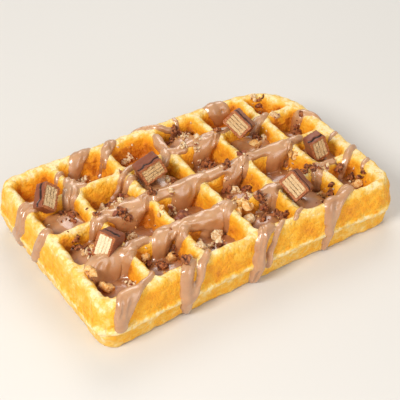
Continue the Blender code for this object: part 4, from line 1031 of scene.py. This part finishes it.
def stones(count, rings, around, draw, planes=7):
    """Broken lumps as unit shapes: along each direction the radius is the nearest of some planes."""
    polar = np.linspace(math.pi, 0, rings + 2)[1:-1, None]
    turn = np.linspace(0, math.tau, around, endpoint=False)[None]
    ways = np.stack([np.sin(polar) * np.cos(turn), np.sin(polar) * np.sin(turn),
                     np.cos(polar) * np.ones_like(turn)], axis=-1).reshape(-1, 3)
    ways = np.concatenate([ways, [(0, 0, -1), (0, 0, 1)]])
    normals = unit(draw.normal(size=(count, planes, 3)))
    reach = draw.uniform(0.35, 1.0, (count, planes, 1))
    facing = np.einsum("kpd,vd->kpv", normals, ways)
    radius = np.where(facing > 0.08, reach / np.maximum(facing, 0.08), 1.3).min(axis=1)
    return ways * np.clip(radius, 0.3, 1.25)[..., None]


def turned(shapes, draw):
    """Each shape turned by its own random rotation, from a random unit quaternion."""
    q = unit(draw.normal(size=(len(shapes), 4)))
    w, x, y, z = q.T
    spin = np.stack([
        1 - 2 * (y * y + z * z), 2 * (x * y - w * z), 2 * (x * z + w * y),
        2 * (x * y + w * z), 1 - 2 * (x * x + z * z), 2 * (y * z - w * x),
        2 * (x * z - w * y), 2 * (y * z + w * x), 1 - 2 * (x * x + y * y),
    ], axis=1).reshape(-1, 3, 3)
    return np.einsum("kij,kvj->kvi", spin, shapes)


def shard_piece(finish):
    """The lump of chocolate: a slab cut by planes, its radius the nearest plane in each direction."""
    low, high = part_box("chocolate_shard")
    centre, size = np.array((low + high) / 2), np.array(high - low) / 2
    rings, around = 40, 60
    shape = stones(1, rings, around, np.random.default_rng(91), planes=11)[0]
    shape *= 1 + 0.05 * ripple(shape, 0.5, 92)[:, None] + 0.02 * ripple(shape, 0.16, 93)[:, None]
    places = centre + shape / np.abs(shape).max(axis=0) * size
    edge = np.clip(ripple(shape, 0.8, 94), 0, 1) * 0.8
    return new_piece("chocolate_lump", places, capped_faces(rings, around), finish, "milk_chocolate",
                     ["chocolate_shard"], scuffed=edge, crack=np.zeros(len(places)))


def crumb_places(look, draw):
    """For each kind rows of x, y, radius and lift: crumbs in their places, fine ones round them."""
    rows = {kind: [] for kind in CRUMB_KINDS}
    for x, y, spread, count, radius, kind in CRUMBS:
        for _ in range(count):
            place = np.array((x, y)) + draw.normal(size=2) * spread * 0.6
            rows[kind].append((*place, radius * draw.uniform(0.75, 1.1), LARGE_LIFT))
        for _ in range(look.fine_crumbs):
            place = np.array((x, y)) + draw.normal(size=2) * (0.6 * spread + 1.0)
            other = kind if draw.uniform() < 0.45 else "wwn"[int(draw.integers(3))]
            rows[other].append((*place, draw.uniform(*FINE_RADIUS), FINE_LIFT))
    for _ in range(look.loose_crumbs):
        place = draw.uniform(*LOOSE_AREA)
        rows["wwn"[int(draw.integers(3))]].append((*place, draw.uniform(*LOOSE_RADIUS), FINE_LIFT))
    return rows


def strew_crumbs(look, finishes, trees):
    """Crumbs of three kinds, each kind one mesh, dropped straight down on what lies below.

    A large crumb is a few broken lumps run together at normally scattered places.
    """
    draw = np.random.default_rng(58)
    for kind, rows in crumb_places(look, draw).items():
        name, slot, form, coated = CRUMB_KINDS[kind]
        hits = [drop(trees, row[0] * MM + GRID_SHIFT[0], row[1] * MM + GRID_SHIFT[1]) for row in rows]
        rows = np.array([row for row, hit in zip(rows, hits) if hit])
        ground = np.array([hit[0] for hit in hits if hit])
        upward = np.array([hit[1] for hit in hits if hit])
        size = rows[:, 2] * MM
        centres = ground + upward * (size * rows[:, 3])[:, None]
        blocks, faces, coats, first = [], [], [], 0
        for large in (True, False):
            chosen = (rows[:, 2] > LARGE) == large
            rings, around = (6, 10) if large else (4, 6)
            parts = look.crumb_parts if large else 1
            radii = np.repeat(size[chosen], parts) * (LUMP_SHARE if large else 1.0)
            middles = np.repeat(centres[chosen], parts, axis=0)
            if large:
                middles = middles + draw.normal(size=middles.shape) * LUMP_APART * radii[:, None]
            shapes = stones(len(radii), rings, around, draw) * form
            has_coat = draw.uniform(size=(len(shapes), 1)) < coated
            coats.append((np.clip((shapes[..., 2] - 0.22) / 0.08, 0, 1) * has_coat).ravel())
            shapes = turned(shapes, draw) * radii[:, None, None] + middles[:, None]
            quads, fans = capped_faces(rings, around)
            starts = first + np.arange(len(shapes))[:, None, None] * shapes.shape[1]
            faces += [(quads + starts).reshape(-1, 4), (fans + starts).reshape(-1, 3)]
            blocks.append(shapes.reshape(-1, 3))
            first += len(blocks[-1])
        new_piece(name, np.concatenate(blocks), faces, finishes[kind], slot, smooth=False,
                  coated=np.concatenate(coats))


def drop(trees, x, y):
    """Where something that falls straight down lands, unless it lands on a wafer piece."""
    best, hit_bar = None, False
    for tree, is_bar in trees:
        place, normal, _, _ = tree.ray_cast(Vector((x, y, DROP_FROM)), Vector((0, 0, -1)))
        if place is not None and (best is None or place.z > best[0].z):
            best, hit_bar = (place, normal), is_bar
    return None if best is None or hit_bar or best[0].z < DROP_LEAST else best


def tree_of(name):
    """A piece's triangles in a tree that rays can be cast on."""
    mesh = bpy.data.objects[name].data
    places = np.empty(len(mesh.vertices) * 3, np.float32)
    mesh.vertices.foreach_get("co", places)
    mesh.calc_loop_triangles()
    corners = np.empty(len(mesh.loop_triangles) * 3, np.int32)
    mesh.loop_triangles.foreach_get("vertices", corners)
    return BVHTree.FromPolygons(places.reshape(-1, 3).tolist(), corners.reshape(-1, 3).tolist())


def lay_floor(look):
    """A plain square floor just below the waffle."""
    mesh = bpy.data.meshes.new("floor")
    ways = ((-1, -1), (1, -1), (1, 1), (-1, 1))
    mesh.from_pydata([(x * FLOOR_HALF, y * FLOOR_HALF, FLOOR_LEVEL) for x, y in ways], [], [(0, 1, 2, 3)])
    finish = Finish("plain floor", Roughness=0.85)
    shaded = [level * 0.97 for level in look.floor]
    tone = finish.mix(finish.noise(0.4, detail=1.0), shaded, look.floor)
    mesh.materials.append(finish.set(Base_Color=tone))
    linked("floor", mesh)


def light_up(look):
    """The area lights, each turned to the waffle, and an even sky."""
    for name, place, width, colour, power, share in LAMPS:
        light = bpy.data.lights.new(name, "AREA")
        light.size, light.energy, light.color = width, getattr(look, power) * share, colour
        lamp = linked(name, light)
        lamp.location = place
        lamp.rotation_euler = (-Vector(place)).to_track_quat("-Z", "Y").to_euler()
    world = bpy.data.worlds.new("studio")
    world.use_nodes = True
    sky = world.node_tree.nodes["Background"].inputs
    sky["Color"].default_value, sky["Strength"].default_value = SKY_COLOUR, look.sky
    bpy.context.scene.world = world
    bpy.context.scene.view_settings.view_transform = "Standard"


def set_camera():
    """The camera looks back along its azimuth and elevation from its distance to its target."""
    sine, cosine = math.sin(CAMERA_AZIMUTH), math.cos(CAMERA_AZIMUTH)
    level = math.cos(CAMERA_ELEVATION)
    back = Vector((sine * level, -cosine * level, math.sin(CAMERA_ELEVATION)))
    right = Vector((cosine, sine, 0.0))
    lens = bpy.data.cameras.new("camera")
    lens.sensor_width, lens.lens, lens.clip_start = SENSOR, IMAGE_WIDTHS * SENSOR, 10 * MM
    camera = linked("camera", lens)
    turn = Matrix((right, back.cross(right), back)).transposed().to_4x4()
    camera.matrix_world = Matrix.Translation(Vector(CAMERA_TARGET) + back * CAMERA_DISTANCE) @ turn
    bpy.context.scene.camera = camera


def number_property(name, description, default, least, most):
    """A number, whole where its default is."""
    kind = bpy.props.IntProperty if isinstance(default, int) else bpy.props.FloatProperty
    return kind(name=name, description=description, default=default, min=least, max=most)


def length_property(name, description, default):
    """A length in metres."""
    return bpy.props.FloatProperty(name=name, description=description, default=default,
                                   subtype="DISTANCE", unit="LENGTH")


def power_property(name, description, default):
    """A light's power."""
    return bpy.props.FloatProperty(name=name, description=description, default=default, unit="POWER")


def colour_property(name, description, default):
    """A colour without its alpha."""
    return bpy.props.FloatVectorProperty(name=name, description=description, default=default,
                                         subtype="COLOR", size=3, min=0.0, max=1.0)


class WaffleShape(bpy.types.PropertyGroup):
    """The shape of the baked waffle"""
    fineness: number_property("Fineness", "Chart lines of the crust, 1 for coarse", 1.12, 0.3, 3.0)
    pocket_corner: length_property("Pocket corner", "Radius of a pocket's corners", 3.6 * MM)
    wall_softness: length_property("Wall softness", "Width over which a wall's bends are eased", 1.1 * MM)
    side_softness: length_property("Side softness", "Length over which the side's bends are eased",
                                   0.7 * MM)
    unevenness: length_property("Unevenness", "How far the pocket edges wander", 0.55 * MM)


class SauceShape(bpy.types.PropertyGroup):
    """The shape of the sauce"""
    sauce_fineness: number_property("Fineness", "Chart lines of the sauce, 1 for coarse", 1.7, 0.3, 4.0)
    drape: number_property("Drape", "How often the skin under the sauce is averaged", 16, 0, 80)
    smoothing: number_property("Smoothing", "How often the sauce's surface is averaged", 2, 0, 20)
    sauce_sink: length_property("Sink", "Depth of the sauce's underside in the crust", 0.9 * MM)


class ToppingShape(bpy.types.PropertyGroup):
    """The shape of the bar pieces and how many crumbs there are"""
    bar_fineness: number_property("Bar fineness", "Points along each side of a bar's outline", 40, 8, 80)
    end_rings: number_property("End rings", "Rings on each cut end of a wafer", 22, 4, 60)
    layers: number_property("Wafer sheets", "Sheets of wafer in a bar", 4, 2, 8)
    fine_crumbs: number_property("Fine crumbs", "Fine crumbs round each cluster", 6, 0, 40)
    crumb_parts: number_property("Lumps", "Lumps in a large crumb", 3, 1, 6)
    loose_crumbs: number_property("Loose crumbs", "Fine crumbs over the whole waffle", 12, 0, 1000)


class WaffleColours(bpy.types.PropertyGroup):
    """The colours of all pieces"""
    cream: colour_property("Cream crust", "Palest spots of the rib tops", (0.98, 0.78, 0.42))
    pale: colour_property("Pale crust", "Rib tops and rims", (0.94, 0.62, 0.175))
    straw: colour_property("Straw crust", "Just below the rib tops", (0.92, 0.485, 0.042))
    gold: colour_property("Golden crust", "Sides and upper walls", (0.90, 0.385, 0.014))
    amber: colour_property("Amber crust", "Middle of the pocket walls", (0.84, 0.32, 0.016))
    # partly painted shade: this tone at the foot of the pocket walls
    brown: colour_property("Brown crust", "Foot of the pocket walls", (0.56, 0.165, 0.009))
    # The light sauce tone is the sauce's own colour; the dark one is painted shade, mixed in by depth, not
    # by thickness
    sauce_light: colour_property("Light sauce", "Thin chocolate sauce", (0.610, 0.325, 0.150))
    sauce_shaded: colour_property("Dark sauce", "Thick chocolate sauce", (0.36, 0.130, 0.040))
    chocolate: colour_property("Chocolate", "Set milk chocolate", (0.30, 0.084, 0.045))
    chocolate_dark: colour_property("Dark chocolate", "Shaded tone of the set chocolate",
                                    (0.14, 0.033, 0.015))
    chocolate_worn: colour_property("Worn chocolate", "Scuffed and broken chocolate", (0.48, 0.160, 0.050))
    # painted shade: the near-black inside of a crack
    crack: colour_property("Crack", "Inside of a crack in a coat", (0.018, 0.008, 0.006))
    crumb_dark: colour_property("Dark crumb", "Broken faces of the chocolate crumbs", (0.075, 0.018, 0.009))
    wafer: colour_property("Wafer", "Crisp wafer", (0.66, 0.38, 0.15))
    wafer_light: colour_property("Light wafer", "Palest crisp wafer", (0.72, 0.52, 0.28))
    wafer_pale: colour_property("Pale wafer", "Cut face of the palest piece", (0.90, 0.76, 0.52))
    wafer_cream: colour_property("Wafer cream", "Cream between the sheets", (0.52, 0.31, 0.15))
    wafer_gap: colour_property("Wafer gap", "Gaps and pores of a cut face", (0.12, 0.055, 0.02))
    nut: colour_property("Nut", "Chopped roasted nut", (0.76, 0.36, 0.085))
    nut_light: colour_property("Pale nut", "Inside of the chopped nut", (0.90, 0.64, 0.30))
    nut_dark: colour_property("Roasted nut", "Browned side of the nut", (0.50, 0.22, 0.06))


class StageLook(bpy.types.PropertyGroup):
    """The lights and the floor"""
    key: power_property("Key light", "Power of the key light", 7.2)
    fill: power_property("Fill light", "Power of the fill light", 3.0)
    sky: number_property("Sky", "Strength of the even light from all round", 0.44, 0.0, 10.0)
    floor: colour_property("Floor", "Plain floor", (0.74, 0.72, 0.69))


class WAFFLE_OT_stage(bpy.types.Operator):
    """Adds the floor, the lights and the camera"""
    bl_idname = "waffle.stage"
    bl_label = "Stage"

    def execute(self, context):
        lay_floor(context.scene.waffle_stage)
        light_up(context.scene.waffle_stage)
        set_camera()
        return {"FINISHED"}


class WAFFLE_OT_crust(bpy.types.Operator):
    """Bakes the waffle's crust in place of the plain solid"""
    bl_idname = "waffle.crust"
    bl_label = "Crust"

    def execute(self, context):
        look = context.scene.waffle_shape
        bake_waffle(look, WaffleSkin(look))
        return {"FINISHED"}


class WAFFLE_OT_sauce(bpy.types.Operator):
    """Pours the chocolate sauce over the crust"""
    bl_idname = "waffle.sauce"
    bl_label = "Sauce"

    def execute(self, context):
        pour_sauce(context.scene.waffle_sauce, WaffleSkin(context.scene.waffle_shape))
        return {"FINISHED"}


class WAFFLE_OT_bars(bpy.types.Operator):
    """Cuts the pieces of chocolate-coated wafer bar and the chocolate lump"""
    bl_idname = "waffle.bars"
    bl_label = "Wafer bar pieces"

    def execute(self, context):
        look, colours = context.scene.waffle_toppings, context.scene.waffle_colours
        chocolate, wafer = chocolate_finish(colours), wafer_finish(colours)
        for k, (name, turns, length, crack, pale) in enumerate(PIECES):
            coat_piece(name, turns, length, crack, 100 + 10 * k, look, chocolate)
            wafer_piece(name, turns, length, pale, 200 + 10 * k, look, wafer)
        shard_piece(chocolate)
        return {"FINISHED"}


class WAFFLE_OT_crumbs(bpy.types.Operator):
    """Strews the crumbs over the sauce and the crust"""
    bl_idname = "waffle.crumbs"
    bl_label = "Crumbs"

    def execute(self, context):
        look = context.scene.waffle_colours
        finishes = {
            "c": crumb_finish("chocolate crumb", look.crumb_dark, look.chocolate_worn, look.chocolate, 0.5),
            "w": crumb_finish("wafer crumb", look.wafer, look.wafer_pale, look.chocolate, 0.8),
            "n": crumb_finish("chopped nut", look.nut, look.nut_light, look.nut_dark, 0.6),
        }
        trees = [(tree_of("baked_waffle"), False), (tree_of("poured_sauce"), False)]
        trees += [(tree_of(f"bar_coat_{name}"), True) for name, *_ in PIECES]
        strew_crumbs(context.scene.waffle_toppings, finishes, trees)
        return {"FINISHED"}


class WAFFLE_PT_panel(bpy.types.Panel):
    """Sizes, colours and steps of the waffle"""
    bl_idname = "WAFFLE_PT_panel"
    bl_label = "Belgian waffle"
    bl_space_type = "VIEW_3D"
    bl_region_type = "UI"
    bl_category = "Waffle"

    def draw(self, context):
        for step in STEPS:
            self.layout.operator(step.bl_idname)
        for group in GROUPS:
            box = self.layout.box()
            for name in GROUPS[group].__annotations__:
                box.prop(getattr(context.scene, group), name)


STEPS = (WAFFLE_OT_stage, WAFFLE_OT_crust, WAFFLE_OT_sauce, WAFFLE_OT_bars, WAFFLE_OT_crumbs)
GROUPS = {
    "waffle_shape": WaffleShape,
    "waffle_sauce": SauceShape,
    "waffle_toppings": ToppingShape,
    "waffle_colours": WaffleColours,
    "waffle_stage": StageLook,
}


def register():
    """Makes the properties, operators and panel known to Blender."""
    for kind in (*GROUPS.values(), *STEPS, WAFFLE_PT_panel):
        bpy.utils.register_class(kind)
    for name, group in GROUPS.items():
        setattr(bpy.types.Scene, name, bpy.props.PointerProperty(type=group))


def unregister():
    """Takes them away again, in reverse."""
    for name in GROUPS:
        delattr(bpy.types.Scene, name)
    for kind in (WAFFLE_PT_panel, *STEPS, *GROUPS.values()):
        bpy.utils.unregister_class(kind)


def main():
    """Builds the waffle step by step."""
    register()
    bpy.ops.waffle.stage()
    bpy.ops.waffle.crust()
    bpy.ops.waffle.sauce()
    bpy.ops.waffle.bars()
    bpy.ops.waffle.crumbs()


if __name__ == "__main__":
    main()
